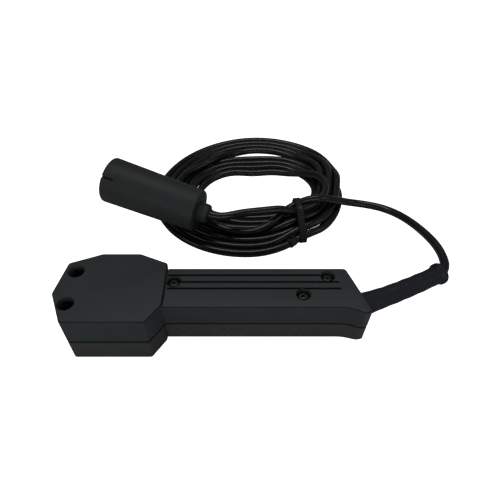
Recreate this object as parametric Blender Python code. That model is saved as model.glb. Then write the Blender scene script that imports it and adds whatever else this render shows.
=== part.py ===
"""A corded hand pendant: a two-shell housing with a momentary rocker switch, a bent
strain relief, a round lead wound into a tied coil, and a moulded plug on its far end.

Everything is in metres, +Z up. The pendant lies on its front face. The origin is under the
middle of the housing: +X points to the lead, and the head is at -X.
"""

import bmesh
import bpy
import math
from mathutils import Matrix, Vector

MM = 0.001
GAP = 0.3 * MM  # clearance between neighbouring pieces

# ---- housing ----
HEAD_TOP = 33.3 * MM
GRIP_TOP = 32.0 * MM
SEAM = 15.2 * MM
SEAM_GAP = 1.2 * MM
WALL = 2.4 * MM
CHAMFER = 0.7 * MM
CORNER = 2.0 * MM
GRIP_HALF_TOP = 14.9 * MM  # half width of the grip at its back face
GRIP_HALF_FRONT = 11.1 * MM  # and at its front face
GRIP_START = -26.8 * MM  # where the grip meets the head
GRIP_END_NEAR = 88.2 * MM  # the end face slants, so its two sides differ
GRIP_END_FAR = 77.8 * MM
FLARE_START = 76.0 * MM
FLARE_PEAK = 84.0 * MM
FLARE_OUT = 4.3 * MM
HEAD_OUTLINE = (  # the head seen from above, anticlockwise, without the grip
    (-26.8, 18.1),
    (-44.0, 26.0),
    (-66.8, 26.0),
    (-85.3, 18.1),
    (-88.2, -5.7),
    (-78.5, -26.0),
    (-33.5, -26.0),
    (-26.0, -13.4),
)
HEAD_DRAFT = 0.8 * MM

# ---- screws, along the housing ----
HEAD_SCREWS = ((-78.8, 10.9), (-78.2, -13.3))
GRIP_SCREWS = ((-21.8, 4.2), (66.5, 8.2), (51.4, -5.5))
HEAD_RECESS = (4.4 * MM, 12.0 * MM)  # radius and depth
GRIP_RECESS = (3.9 * MM, 3.6 * MM)
SHANK_R = 1.5 * MM
SCREW_HEAD_R = 2.9 * MM
SCREW_HEAD_H = 2.0 * MM
SCREW_TIP = 4.9 * MM
INSERT_R = 2.4 * MM
INSERT_Z = (5.0 * MM, 13.0 * MM)
POST_R = 3.5 * MM
POST_WALL = 1.2 * MM
CLAMP_X = 34.0 * MM
CLAMP_Y = 7.0 * MM
CLAMP_POST_R = 2.2 * MM

# ---- grooves in the back of the grip: middle y, first x, last x ----
GROOVES = ((9.3, -25.6, 63.0), (4.0, -18.0, 72.5), (-1.0, -24.8, 72.8))
GROOVE_WIDTH = 1.3 * MM
GROOVE_DEPTH = 1.3 * MM

# ---- switch ----
SWITCH_X = -56.0 * MM
WELL = (32.0 * MM, 24.0 * MM, 9.0 * MM)  # length, width, depth
WELL_WALL = 2.0 * MM
SWITCH_SIZE = (22.0 * MM, 16.0 * MM)
SWITCH_TOP = 21.0 * MM
SWITCH_LIP = 6.9 * MM
PIVOT_Z = 9.5 * MM
ROCKER_SIZE = (17.4 * MM, 10.0 * MM)
ROCKER_TIP_Z = 4.0 * MM  # the paddle's raised ends, from the front face
ROCKER_DISH = 1.4 * MM
BLADE_Z = 17.0 * MM
PIN_R = 1.0 * MM
PLUNGER_R = 1.1 * MM
BLADE = (15.2 * MM, 4.4 * MM, 0.6 * MM)
TERMINALS = ((-6.0, 4.0), (0.0, 0.0), (6.0, -4.0))  # from the switch's middle
TERMINAL = (0.8 * MM, 3.2 * MM)
SPADE = (2.6 * MM, 4.8 * MM)
WIRE_R = 0.9 * MM

# ---- lead ----
CORD_R = 2.9 * MM
CORD_Z = 16.0
BOOT_ROUTE = (
    (77.6, -3.2, 16.0),
    (83.2, -1.3, 16.0),
    (95.3, 3.7, 16.0),
    (104.5, 7.6, 16.0),
    (114.2, 12.1, 16.0),
    (124.2, 17.0, 16.0),
    (133.7, 22.0, 16.0),
    (141.4, 26.4, 16.0),
)
JACKET_ROUTE = (
    (25.0, 0.0, 16.0),
    (35.0, 0.2, 16.0),
    (44.0, 1.0, 16.0),
    (52.0, 1.4, 16.0),
    (60.0, 0.8, 16.0),
    (68.0, -1.2, 16.0),
    (74.0, -3.2, 16.0),
)
FREE_ROUTE = (
    (142.0, 26.8, 15.95),
    (144.6, 28.3, 16.0),
    (146.4, 31.0, 16.0),
    (147.0, 35.2, 15.9),
    (147.8, 43.0, 15.3),
    (147.8, 51.0, 14.4),
    (146.8, 61.0, 12.6),
    (144.8, 71.3, 10.5),
    (141.6, 82.6, 8.2),
    (137.1, 93.4, 6.0),
    (132.8, 100.6, 4.5),
    (127.4, 106.5, 3.5),
    (121.8, 110.0, 3.2),
    (115.7, 112.3, 3.1),
    (105.9, 114.8, 3.2),
    (98.5, 114.8, 3.9),
    (95.5, 114.0, 4.4),
)
TAIL_ROUTE = (
    (-6.5, 74.84, 23.78),
    (-4.6, 74.2, 23.45),
    (-1.7, 73.5, 23.0),
    (1.3, 73.45, 22.8),
    (4.3, 74.0, 22.7),
    (7.0, 75.1, 22.5),
    (10.5, 77.0, 22.2),
    (15.1, 79.0, 21.8),
    (20.7, 81.1, 21.1),
    (26.5, 82.8, 20.5),
    (32.8, 84.4, 20.0),
    (38.0, 85.8, 19.6),
)

# ---- coil: angle from +X in degrees, then inner radius, outer radius, height ----
COIL_CENTRE = (25.0, 133.0)
COIL_STATIONS = (
    (0, 48, 71, 17.0),
    (30, 40, 76, 15.0),
    (60, 26, 79, 13.0),
    (90, 21, 79, 12.0),
    (120, 25, 77, 12.0),
    (150, 36, 73, 12.0),
    (180, 43, 75, 10.0),
    (210, 46, 81, 8.6),
    (240, 42, 80, 9.4),
    (270, 38, 77, 13.5),
    (295, 41, 66, 17.0),
    (305, 43, 64, 17.6),
    (315, 45, 64, 17.6),
    (335, 49, 66, 17.5),
)
TIE_ANGLE = 308.0
TIE_TURN = 278.0  # the direction that the strap's plane faces outwards
TIE_LIFT = 3.0 * MM  # the bundle stands this high where the tie passes under it
TIE_WIDTH = 4.8 * MM
TIE_THICK = 1.0 * MM
TIE_GAP = 0.8 * MM
TIE_HEAD = (53.6, 70.6, 4.0)
TIE_HEAD_SIZE = (12.4 * MM, 5.4 * MM, 5.6 * MM)
TIE_HEAD_TURN = 45.0

# ---- plug ----
PLUG_MOUTH = (-77.5, 99.5, 36.0)
PLUG_REAR = (-13.6, 77.3, 25.0)
PLUG_MOUTH_R = 16.4 * MM
PLUG_REAR_R = 14.8 * MM
PLUG_BORE_R = 12.4 * MM
PLUG_BORE_DEPTH = 46.0 * MM
NECK_R = 7.0 * MM
NECK_LENGTH = 7.0 * MM
CONTACT_RING_R = 6.8 * MM

KEYWAY = (9.0 * MM, 1.6 * MM, 2.0 * MM)  # length, width, depth
KEYWAY_ANGLE = 44.0  # from the plug's near side, upwards
CONTACTS = 4
SOCKET_R = 2.0 * MM

# ---- how finely round shapes are cut ----
COIL_STEPS = 56
COIL_SIDES = 9

RUBBER = (0.016, 0.018, 0.020)
SWITCH_BLACK = (0.02, 0.02, 0.021)
STEEL = ((0.6, 0.6, 0.62), 0.25, 1.0)
BRASS = ((0.72, 0.52, 0.25), 0.3, 1.0)


# ---------------------------------------------------------------- basics


def clear_scene():
    for old in list(bpy.data.objects):
        bpy.data.objects.remove(old, do_unlink=True)


def material(name, colour, roughness, metallic=0.0):
    made = bpy.data.materials.new(name)
    made.use_nodes = True
    shader = made.node_tree.nodes["Principled BSDF"]
    shader.inputs["Base Color"].default_value = (*colour, 1)
    shader.inputs["Roughness"].default_value = roughness
    shader.inputs["Metallic"].default_value = metallic
    made.diffuse_color = (*colour, 1)
    return made


def finish(name, mesh, look=None, smooth=True):
    """Names an object and gives it its own material; with no look it is a cutter."""
    mesh.name = name
    obj = bpy.data.objects.new(name, mesh)
    bpy.context.scene.collection.objects.link(obj)
    if look is None:
        obj.hide_render = True
        obj.display_type = "WIRE"
        return obj
    mesh.materials.clear()
    mesh.materials.append(material(name + "_material", *look))
    if smooth:
        mesh.shade_smooth()
        mesh.set_sharp_from_angle(angle=math.radians(32))
    return obj


def mesh_of(bm):
    bmesh.ops.recalc_face_normals(bm, faces=bm.faces)
    mesh = bpy.data.meshes.new("mesh")
    bm.to_mesh(mesh)
    bm.free()
    return mesh


def add_loft(bm, rings):
    """A closed body through rings of equally many points."""
    made = [[bm.verts.new(p) for p in ring] for ring in rings]
    count = len(rings[0])
    for low, high in zip(made, made[1:]):
        for i in range(count):
            j = (i + 1) % count
            bm.faces.new((low[i], low[j], high[j], high[i]))
    bm.faces.new(list(reversed(made[0])))
    bm.faces.new(made[-1])


def loft(rings):
    bm = bmesh.new()
    add_loft(bm, rings)
    return mesh_of(bm)


def circle(centre, radius, along, sides):
    """Points of a circle round the direction along."""
    turn = Vector(along).to_track_quat("Z", "Y").to_matrix()
    points = []
    for i in range(sides):
        a = math.tau * i / sides
        points.append(Vector(centre) + turn @ Vector((math.cos(a), math.sin(a), 0)) * radius)
    return points


def add_turned(bm, start, along, profile, sides=24):
    """A turned body: profile holds (distance along the axis, radius)."""
    axis = Vector(along).normalized()
    add_loft(bm, [circle(Vector(start) + axis * d, r, axis, sides) for d, r in profile])


def turned(start, along, profile, sides=24):
    bm = bmesh.new()
    add_turned(bm, start, along, profile, sides)
    return mesh_of(bm)


def add_sleeve(bm, start, along, outer, inner, sides=24):
    """A turned body with a hole right through; outer and inner hold (distance, radius)."""
    axis = Vector(along).normalized()
    loop = list(outer) + list(reversed(inner))
    rings = [
        [bm.verts.new(p) for p in circle(Vector(start) + axis * d, r, axis, sides)]
        for d, r in loop
    ]
    for low, high in zip(rings, rings[1:] + rings[:1]):
        for i in range(sides):
            j = (i + 1) % sides
            bm.faces.new((low[i], low[j], high[j], high[i]))


def sleeve(start, along, outer, inner, sides=24):
    bm = bmesh.new()
    add_sleeve(bm, start, along, outer, inner, sides)
    return mesh_of(bm)


def add_box(bm, low, high):
    bmesh.ops.create_cube(
        bm,
        size=1,
        matrix=Matrix.Translation((Vector(low) + Vector(high)) / 2)
        @ Matrix.Diagonal((*(Vector(high) - Vector(low)), 1)),
    )


def box(low, high):
    bm = bmesh.new()
    add_box(bm, low, high)
    return mesh_of(bm)


def cut(obj, cutter, operation="DIFFERENCE"):
    step = obj.modifiers.new(operation.lower(), "BOOLEAN")
    step.operation = operation
    step.solver = "EXACT"
    step.object = cutter


def smooth_route(route, step):
    """Points about step apart on a smooth curve through a route given in millimetres."""
    knots = [Vector(p) * MM for p in route]
    ends = [2 * knots[0] - knots[1]] + knots + [2 * knots[-1] - knots[-2]]
    points = []
    for a, b, c, d in zip(ends, ends[1:], ends[2:], ends[3:]):
        pieces = max(1, round((c - b).length / step))
        for i in range(pieces):
            t = i / pieces
            points.append(
                b
                + (c - a) * (t / 2)
                + (2 * a - 5 * b + 4 * c - d) * (t * t / 2)
                + (3 * b - a - 3 * c + d) * (t**3 / 2)
            )
    return points + [knots[-1]]


def tube(name, route, radius, look, step=2.4, resolution=3):
    """A round lead or wire along a smooth route, as a curve with filled caps."""
    curve = bpy.data.curves.new(name, "CURVE")
    curve.dimensions = "3D"
    curve.bevel_depth = radius
    curve.bevel_resolution = resolution
    curve.use_fill_caps = True
    points = smooth_route(route, step * 2 * radius)
    spline = curve.splines.new("POLY")
    spline.points.add(len(points) - 1)
    for knot, p in zip(spline.points, points):
        knot.co = (*p, 1)
    curve.materials.append(material(name + "_material", *look))
    obj = bpy.data.objects.new(name, curve)
    bpy.context.scene.collection.objects.link(obj)
    return obj


# ---------------------------------------------------------------- housing


def inset(points, distance):
    """A convex-cornered outline moved inwards by distance; the points run anticlockwise."""
    moved = []
    count = len(points)
    for i, here in enumerate(points):
        before, after = points[i - 1], points[(i + 1) % count]
        a, b = (here - before).normalized(), (after - here).normalized()
        na, nb = Vector((-a.y, a.x)), Vector((-b.y, b.x))
        moved.append(here + (na + nb) * (distance / (1 + na.dot(nb))))
    return moved


def rounded(points, radii, steps=3):
    """The outline with each corner replaced by a short arc."""
    out = []
    count = len(points)
    for i, here in enumerate(points):
        before, after, radius = points[i - 1], points[(i + 1) % count], radii[i]
        a, b = (before - here).normalized(), (after - here).normalized()
        reach = min(radius, (before - here).length * 0.45, (after - here).length * 0.45)
        start, end = here + a * reach, here + b * reach
        for k in range(steps + 1):
            t = k / steps
            out.append(start * (1 - t) ** 2 + here * (2 * t * (1 - t)) + end * t * t)
    return out


def grip_half(z):
    share = z / GRIP_TOP
    return GRIP_HALF_FRONT + (GRIP_HALF_TOP - GRIP_HALF_FRONT) * share


def outline(z, shrink=0.0):
    """The housing's outline at a height, from the grip's far end round the head and back."""
    half = grip_half(z)
    draft = HEAD_DRAFT * (1 - z / HEAD_TOP)
    head = inset([Vector(p) * MM for p in HEAD_OUTLINE], draft)
    flare = FLARE_OUT * (0.55 + 0.45 * z / GRIP_TOP)
    points = [Vector((GRIP_END_FAR, half)), Vector((GRIP_START, half)), *head]
    points[-1] = Vector((head[-1].x, -half + 0.2 * MM))
    points += [
        Vector((FLARE_START, -half)),
        Vector((FLARE_PEAK, -half - flare)),
        Vector((GRIP_END_NEAR, -half - flare * 0.55)),
    ]
    radii = [CORNER, 0.4 * MM] + [CORNER * 0.6] * 7 + [0.4 * MM, 6 * MM, CORNER, CORNER * 0.6]
    if shrink:
        points = inset(points, shrink)
    return [p.to_3d() + Vector((0, 0, z)) for p in rounded(points, radii)]


def screw_places():
    """(x, y, is on the head) for each housing screw."""
    places = [(x * MM, y * MM, True) for x, y in HEAD_SCREWS]
    return places + [(x * MM, y * MM, False) for x, y in GRIP_SCREWS]


def recess_of(on_head):
    radius, depth = HEAD_RECESS if on_head else GRIP_RECESS
    top = HEAD_TOP if on_head else GRIP_TOP
    return radius, top - depth


def well_box(grow, low, high):
    half = Vector((WELL[0] / 2 + grow, WELL[1] / 2 + grow))
    return (
        (SWITCH_X - half.x, -half.y, low),
        (SWITCH_X + half.x, half.y, high),
    )


def post_mesh(low, high):
    """The screw posts that stay when the inside of a shell is cut away."""
    bm = bmesh.new()
    for x, y, on_head in screw_places():
        radius, floor = recess_of(on_head)
        wide = radius + POST_WALL
        slim = wide if on_head else POST_R
        profile = [(0, slim), (high - low, slim)]
        if high > floor and not on_head:
            step = floor - 1.6 * MM - low
            profile = [(0, slim), (step - 1 * MM, slim), (step, wide), (high - low, wide)]
        add_turned(bm, (x, y, low), (0, 0, 1), profile, 20)
    return mesh_of(bm)


def cavity(name, levels, posts):
    hollow = finish(name, loft([outline(z, WALL) for z in levels]))
    cut(hollow, finish(name + "_posts", posts))
    return hollow


def lead_hole():
    """A cutter for the strain relief, square to the slanted end face."""
    inner, outer = Vector(BOOT_ROUTE[0]) * MM, Vector(BOOT_ROUTE[2]) * MM
    along = (outer - inner).normalized()
    start = inner - along * 1 * MM
    return finish("lead_hole", turned(start, along, [(0, 6.7 * MM), (20 * MM, 6.7 * MM)], 24))


def back_shell(hole):
    levels = (SEAM + SEAM_GAP / 2, HEAD_TOP - CHAMFER)
    rings = [outline(z) for z in levels] + [outline(HEAD_TOP, CHAMFER)]
    shell = finish("back_shell", loft(rings), ((0.028, 0.031, 0.032), 0.5))
    top = GRIP_TOP - WALL
    cut(shell, cavity("back_inside", (SEAM - 2 * MM, top), post_mesh(SEAM - 3 * MM, HEAD_TOP)))
    lower = ((GRIP_START, -0.03, GRIP_TOP), (0.1, 0.03, HEAD_TOP + 1 * MM))
    cut(shell, finish("grip_back", box(*lower)))
    cut(shell, finish("grooves", groove_mesh()))
    cut(shell, finish("recesses", recess_mesh()))
    cut(shell, hole)
    return shell


def groove_mesh():
    bm = bmesh.new()
    low, high = GRIP_TOP - GROOVE_DEPTH, GRIP_TOP + 1 * MM
    for y, first, last in GROOVES:
        half = GROOVE_WIDTH / 2
        add_box(bm, (first * MM, y * MM - half, low), (last * MM, y * MM + half, high))
    return mesh_of(bm)


def recess_mesh():
    bm = bmesh.new()
    for x, y, on_head in screw_places():
        radius, floor = recess_of(on_head)
        start = SEAM - 4 * MM
        hole = SHANK_R + GAP
        profile = [
            (0, hole),
            (floor - start, hole),
            (floor - start + 0.1 * MM, radius),
            (HEAD_TOP + 1 * MM - start, radius),
        ]
        add_turned(bm, (x, y, start), (0, 0, 1), profile, 24)
    return mesh_of(bm)


def posts_at(places, start, length, radius, sides=16):
    """Plain upright cylinders, as one mesh of separate bodies."""
    bm = bmesh.new()
    for x, y in places:
        add_turned(bm, (x, y, start), (0, 0, 1), [(0, radius), (length, radius)], sides)
    return mesh_of(bm)


def clamp_places():
    return [(CLAMP_X, -CLAMP_Y), (CLAMP_X, CLAMP_Y)]


def front_shell(hole):
    top = SEAM - SEAM_GAP / 2
    rings = [outline(0, CHAMFER), outline(CHAMFER), outline(top)]
    shell = finish("front_shell", loft(rings), ((0.032, 0.034, 0.035), 0.5))
    inside = cavity("front_inside", (WALL, SEAM + 2 * MM), post_mesh(WALL / 2, SEAM + 3 * MM))
    well = well_box(WELL_WALL, 0, WELL[2] + WELL_WALL)
    cut(inside, finish("well_walls", box(*well)))
    posts = posts_at(clamp_places(), WALL / 2, 20 * MM, CLAMP_POST_R)
    cut(inside, finish("clamp_posts", posts))
    cut(shell, inside)
    cut(shell, finish("well", box(*well_box(0, -1 * MM, WELL[2]))))
    slot = Vector((SWITCH_SIZE[0] / 2 + GAP, SWITCH_SIZE[1] / 2 + GAP, 0))
    middle = Vector((SWITCH_X, 0, 0))
    low, high = middle - slot, middle + slot + Vector((0, 0, SEAM))
    cut(shell, finish("switch_slot", box(low, high)))
    places = [(x, y) for x, y, _ in screw_places()]
    bores = posts_at(places, INSERT_Z[0] - GAP, 20 * MM, INSERT_R + GAP, 20)
    cut(shell, finish("insert_bores", bores))
    pilots = posts_at(clamp_places(), 5 * MM, 20 * MM, 1.3 * MM)
    cut(shell, finish("clamp_pilots", pilots))
    cut(shell, hole)
    return shell


def seam_gasket():
    """A thin strip of rubber that fills the seam between the shells."""
    low, high = SEAM - SEAM_GAP / 2 + GAP, SEAM + SEAM_GAP / 2 - GAP
    rings = [outline(z, 0.5 * MM) for z in (low, high)]
    ring = finish("seam_gasket", loft(rings), (RUBBER, 0.8))
    inner = [outline(z, 2.0 * MM) for z in (low - 1 * MM, high + 1 * MM)]
    cut(ring, finish("gasket_inside", loft(inner)))
    boot = Vector(BOOT_ROUTE[1]) * MM
    reach = Vector((12, 8.5, 4)) * MM
    cut(ring, finish("gasket_end", box(boot - reach, boot + reach)))


def housing_screw(name, x, y, on_head):
    """A pan-head screw with a cross recess."""
    seat = recess_of(on_head)[1] + 0.4 * MM
    top = seat + SCREW_HEAD_H
    profile = [
        (0, 0.8 * MM),
        (1.2 * MM, SHANK_R),
        (seat - SCREW_TIP, SHANK_R),
        (seat - SCREW_TIP + 0.05 * MM, SCREW_HEAD_R),
        (top - SCREW_TIP - 0.6 * MM, SCREW_HEAD_R),
        (top - SCREW_TIP, SCREW_HEAD_R * 0.68),
    ]
    made = finish(name, turned((x, y, SCREW_TIP), (0, 0, 1), profile, 16), STEEL)
    cross = cross_prism(x, y, (top - 1.1 * MM, top + 1 * MM), 1.5 * MM, 0.4 * MM)
    cut(made, finish(name + "_cross", cross))


def cross_prism(x, y, levels, reach, half):
    """A plus-shaped prism that cuts a screwdriver recess."""
    corners = []
    for quarter in range(4):
        turn = Matrix.Rotation(quarter * math.pi / 2, 3, "Z")
        for px, py in ((reach, -half), (reach, half), (half, half)):
            corners.append(turn @ Vector((px, py, 0)) + Vector((x, y, 0)))
    return loft([[c + Vector((0, 0, z)) for c in corners] for z in levels])


def threaded_insert(name, x, y):
    length = INSERT_Z[1] - INSERT_Z[0]
    outer = [(0, INSERT_R), (length, INSERT_R)]
    inner = [(0, SHANK_R + GAP), (length, SHANK_R + GAP)]
    finish(name, sleeve((x, y, INSERT_Z[0]), (0, 0, 1), outer, inner, 16), BRASS)


def housing_fasteners():
    """The housing's screws and the inserts that they go into, numbered from the head."""
    for i, (x, y, on_head) in enumerate(screw_places(), 1):
        housing_screw(f"housing_screw_{i}", x, y, on_head)
        threaded_insert(f"threaded_insert_{i}", x, y)


# ---------------------------------------------------------------- switch


def centred_box(centre, size):
    half = Vector(size) / 2
    return box(Vector(centre) - half, Vector(centre) + half)


def cross_bore(name, obj, z, radius, length):
    """A hole along Y through the switch's middle."""
    start = (SWITCH_X, -length / 2, z)
    cut(obj, finish(name, turned(start, (0, 1, 0), [(0, radius), (length, radius)], 16)))


def set_origin(obj, place):
    """Moves the object's origin onto its joint's axis and leaves its shape where it is."""
    obj.data.transform(Matrix.Translation(-Vector(place)))
    obj.location = place


def switch_body():
    long, wide = SWITCH_SIZE
    height = SWITCH_TOP - SWITCH_LIP
    centre = (SWITCH_X, 0, SWITCH_LIP + height / 2)
    body = finish("switch_body", centred_box(centre, (long, wide, height)), (SWITCH_BLACK, 0.4))
    room = (long - 2 * MM, wide - 3.6 * MM, 2 * (SWITCH_TOP - 2 * MM))
    cut(body, finish("switch_pocket", centred_box((SWITCH_X, 0, 0), room)))
    slots = bmesh.new()
    for at in terminal_places():
        half = Vector((TERMINAL[0] / 2 + GAP, TERMINAL[1] / 2 + GAP, 4 * MM))
        add_box(slots, at - half, at + half)
    cut(body, finish("terminal_slots", mesh_of(slots)))
    cross_bore("pivot_bore", body, PIVOT_Z, PIN_R + GAP, wide - 1.6 * MM)


def terminal_places():
    """The middles of the terminal blades where they pass through the switch's top."""
    return [Vector((SWITCH_X + x * MM, y * MM, SWITCH_TOP - 1 * MM)) for x, y in TERMINALS]


def switch_bezel():
    long, wide = SWITCH_SIZE
    thick = WELL[2] - SWITCH_LIP - 2 * GAP
    centre = (SWITCH_X, 0, SWITCH_LIP + GAP + thick / 2)
    size = (long + 6 * MM, wide + 5 * MM, thick)
    bezel = finish("switch_bezel", centred_box(centre, size), (SWITCH_BLACK, 0.35))
    window = (long + 2 * GAP, wide + 2 * GAP, 10 * MM)
    cut(bezel, finish("bezel_window", centred_box(centre, window)))


def pivot_pin():
    length = SWITCH_SIZE[1] - 2.2 * MM
    start = (SWITCH_X, -length / 2, PIVOT_Z)
    finish("pivot_pin", turned(start, (0, 1, 0), [(0, PIN_R), (length, PIN_R)], 14), STEEL)


def switch_rocker():
    """A two-way paddle: its outer face dips towards the middle, and its back is round."""
    half, width = ROCKER_SIZE[0] / 2, ROCKER_SIZE[1] / 2
    side = []
    for i in range(9):
        t = i / 4 - 1
        side.append((t * half, ROCKER_TIP_Z + ROCKER_DISH * math.cos(t * math.pi / 2)))
    for i in range(7):
        a = math.pi * i / 6
        side.append((math.cos(a) * (half - 0.9 * MM), 9 * MM + math.sin(a) * 3 * MM))
    rings = [[Vector((SWITCH_X + x, y, z)) for x, z in side] for y in (-width, width)]
    paddle = finish("switch_rocker", loft(rings), ((0.03, 0.03, 0.031), 0.45))
    cross_bore("rocker_bore", paddle, PIVOT_Z, PIN_R + GAP, 20 * MM)
    guide = [(0, PLUNGER_R + GAP), (9 * MM, PLUNGER_R + GAP)]
    start = (SWITCH_X, 0, PIVOT_Z + 1.9 * MM)
    cut(paddle, finish("plunger_guide", turned(start, (0, 0, 1), guide, 14)))
    set_origin(paddle, (SWITCH_X, 0, PIVOT_Z))


def contact_plunger():
    start = PIVOT_Z + 2.3 * MM
    length = BLADE_Z - BLADE[2] / 2 - GAP - start
    profile = [(0, PLUNGER_R), (length - 0.7 * MM, PLUNGER_R), (length, 0.4 * MM)]
    plunger = turned((SWITCH_X, 0, start), (0, 0, 1), profile, 12)
    plunger = finish("contact_plunger", plunger, ((0.75, 0.75, 0.72), 0.4))
    set_origin(plunger, (SWITCH_X, 0, PIVOT_Z))


def contact_blade():
    blade = finish("contact_blade", centred_box((SWITCH_X, 0, BLADE_Z), BLADE), BRASS)
    set_origin(blade, (SWITCH_X, 0, BLADE_Z))


def terminals():
    """Three flat blades through the top of the switch, each with its push-on connector."""
    for i, at in enumerate(terminal_places(), 1):
        half = Vector((TERMINAL[0] / 2, TERMINAL[1] / 2, 0))
        low, high = Vector((0, 0, 0.9 * MM)), Vector((0, 0, 7.5 * MM))
        finish(f"switch_terminal_{i}", box(at - half - low, at + half + high), BRASS)
        shell = Vector((SPADE[0] / 2, SPADE[1] / 2, 0))
        low, high = Vector((0, 0, 2.5 * MM)), Vector((0, 0, 9.0 * MM))
        name = f"spade_connector_{i}"
        spade = finish(name, box(at - shell + low, at + shell + high), ((0.55, 0.05, 0.04), 0.4))
        half += Vector((GAP, GAP, 0))
        slot = box(at - half, at + half + Vector((0, 0, 7.8 * MM)))
        cut(spade, finish(name + "_slot", slot))


def wires():
    """One wire from each connector back along the grip to the end of the lead's jacket."""
    colours = ((0.5, 0.03, 0.03), (0.75, 0.75, 0.72), (0.03, 0.03, 0.03))
    for i, (at, colour) in enumerate(zip(terminal_places(), colours)):
        x, y, z = (at + Vector((SPADE[0] / 2 + GAP, 0, 5.5 * MM))) / MM
        spread = 2.4 * (1 - i)
        route = (
            (x, y, z),
            (x + 6, y, z),
            (-38, y * 0.9, 24.4),
            (-30, -4.4 + spread * 1.1, 21.5),
            (-21, -5.0 + spread, 19.5),
            (-8, -3.5 + spread, 17.8),
            (8, spread * 0.9, 16.5),
            (18, spread * 0.85, 16.0),
            (24.7, (1 - i) * 1.9, 16.0),
        )
        tube("wire_" + "abc"[i], route, WIRE_R, (colour, 0.45), 4.0, 2)


# ---------------------------------------------------------------- lead inside the grip


def sweep(points, outer, inner=None, sides=20):
    """A round body along a path, with a radius at each point, and with inner a bore through."""
    bm = bmesh.new()
    frames = []
    for i, here in enumerate(points):
        along = (points[min(i + 1, len(points) - 1)] - points[max(i - 1, 0)]).normalized()
        side = along.cross(Vector((0, 0, 1))).normalized()
        frames.append((here, side, side.cross(along)))

    def ring(i, radius):
        here, side, up = frames[i]
        angles = [math.tau * k / sides for k in range(sides)]
        return [here + (side * math.cos(a) + up * math.sin(a)) * radius for a in angles]

    rings = [ring(i, outer[i]) for i in range(len(points))]
    if inner is None:
        add_loft(bm, rings)
        return mesh_of(bm)
    rings += [ring(i, inner) for i in reversed(range(len(points)))]
    made = [[bm.verts.new(p) for p in r] for r in rings]
    for low, high in zip(made, made[1:] + made[:1]):
        for i in range(sides):
            j = (i + 1) % sides
            bm.faces.new((low[i], low[j], high[j], high[i]))
    return mesh_of(bm)


def strain_relief():
    """A tapered sleeve with a flange inside the end wall and a bead at its free end."""
    points = smooth_route(BOOT_ROUTE, 2.2 * MM)
    total = sum((b - a).length for a, b in zip(points, points[1:]))
    travelled, radii = 0.0, []
    for i, here in enumerate(points):
        travelled += (here - points[i - 1]).length if i else 0
        left = total - travelled
        radius = 6.35 * MM - 0.75 * MM * travelled / total
        if travelled < 2.0 * MM:
            radius = 8.2 * MM
        if left < 2.9 * MM:
            radius = 7.0 * MM
        radii.append(radius)
    mesh = sweep(points, radii, CORD_R + GAP)
    finish("strain_relief_boot", mesh, ((0.018, 0.021, 0.026), 0.62))


def inner_lead():
    """The lead from its cut end in the grip, through the strain relief, to the bead."""
    route = JACKET_ROUTE + BOOT_ROUTE
    tube("inner_lead", route, CORD_R, (RUBBER, 0.3), 1.1, 3)


def cord_clamp():
    size = (7 * MM, 18 * MM, 5 * MM)
    bottom = SEAM + 0.4 * MM
    clamp = finish(
        "cord_clamp", centred_box((CLAMP_X, 0, bottom + size[2] / 2), size), ((0.04, 0.04, 0.04), 0.5)
    )
    channel = [(0, CORD_R + GAP), (20 * MM, CORD_R + GAP)]
    start = (CLAMP_X - 10 * MM, 0.2 * MM, CORD_Z * MM)
    cut(clamp, finish("clamp_channel", turned(start, (1, 0, 0), channel, 20)))
    holes = posts_at(clamp_places(), 10 * MM, 20 * MM, 1.3 * MM)
    cut(clamp, finish("clamp_holes", holes))
    shank = bottom + size[2] + GAP - 6 * MM
    profile = [
        (0, 1 * MM),
        (shank, 1 * MM),
        (shank + 0.05 * MM, 2.1 * MM),
        (shank + 1.4 * MM, 2.1 * MM),
        (shank + 1.8 * MM, 1.4 * MM),
    ]
    for i, (x, y) in enumerate(clamp_places(), 1):
        finish(f"clamp_screw_{i}", turned((x, y, 6 * MM), (0, 0, 1), profile, 12), STEEL)


# ---------------------------------------------------------------- coil and tie


def coil_station(angle):
    """Inner radius, outer radius and height of the coil at an angle, in metres."""
    stations = [(a, *rest) for a, *rest in COIL_STATIONS]
    count = len(stations)
    angle %= 360
    for i in range(count):
        low, high = stations[i], stations[(i + 1) % count]
        width = (high[0] - low[0]) % 360
        if (angle - low[0]) % 360 < width:
            t = ((angle - low[0]) % 360) / width
            t = t * t * (3 - 2 * t)
            return [(a + (b - a) * t) * MM for a, b in zip(low[1:], high[1:])]
    raise ValueError(angle)


def coil_lift(angle):
    """How far the bundle stands off the ground at an angle."""
    off = (angle - TIE_ANGLE + 180) % 360 - 180
    return TIE_LIFT * max(0.0, math.cos(math.radians(min(abs(off) * 3.2, 90)))) ** 2


def coil_section(angle, grow=0.0):
    """The coil's cross-section at an angle: a flat foot under a rounded back."""
    inner, outer, height = coil_station(angle)
    foot = coil_lift(angle) - grow
    middle, half = (inner + outer) / 2, (outer - inner) / 2 + grow
    top = height + grow
    turn = math.radians(angle)
    out = Vector((math.cos(turn), math.sin(turn), 0))
    points = []
    for i in range(COIL_SIDES + 1):
        a = math.pi * i / COIL_SIDES
        rise = math.sin(a) ** 0.7
        reach = math.cos(a) * (0.86 + 0.14 * rise)
        points.append((reach * half, foot + (top - foot) * (0.12 + 0.88 * rise)))
    points += [(-half * 0.86 + GAP, foot), (half * 0.86 - GAP, foot)]
    centre = Vector((*COIL_CENTRE, 0)) * MM
    return [centre + out * (middle + r) + Vector((0, 0, z)) for r, z in points]


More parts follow.
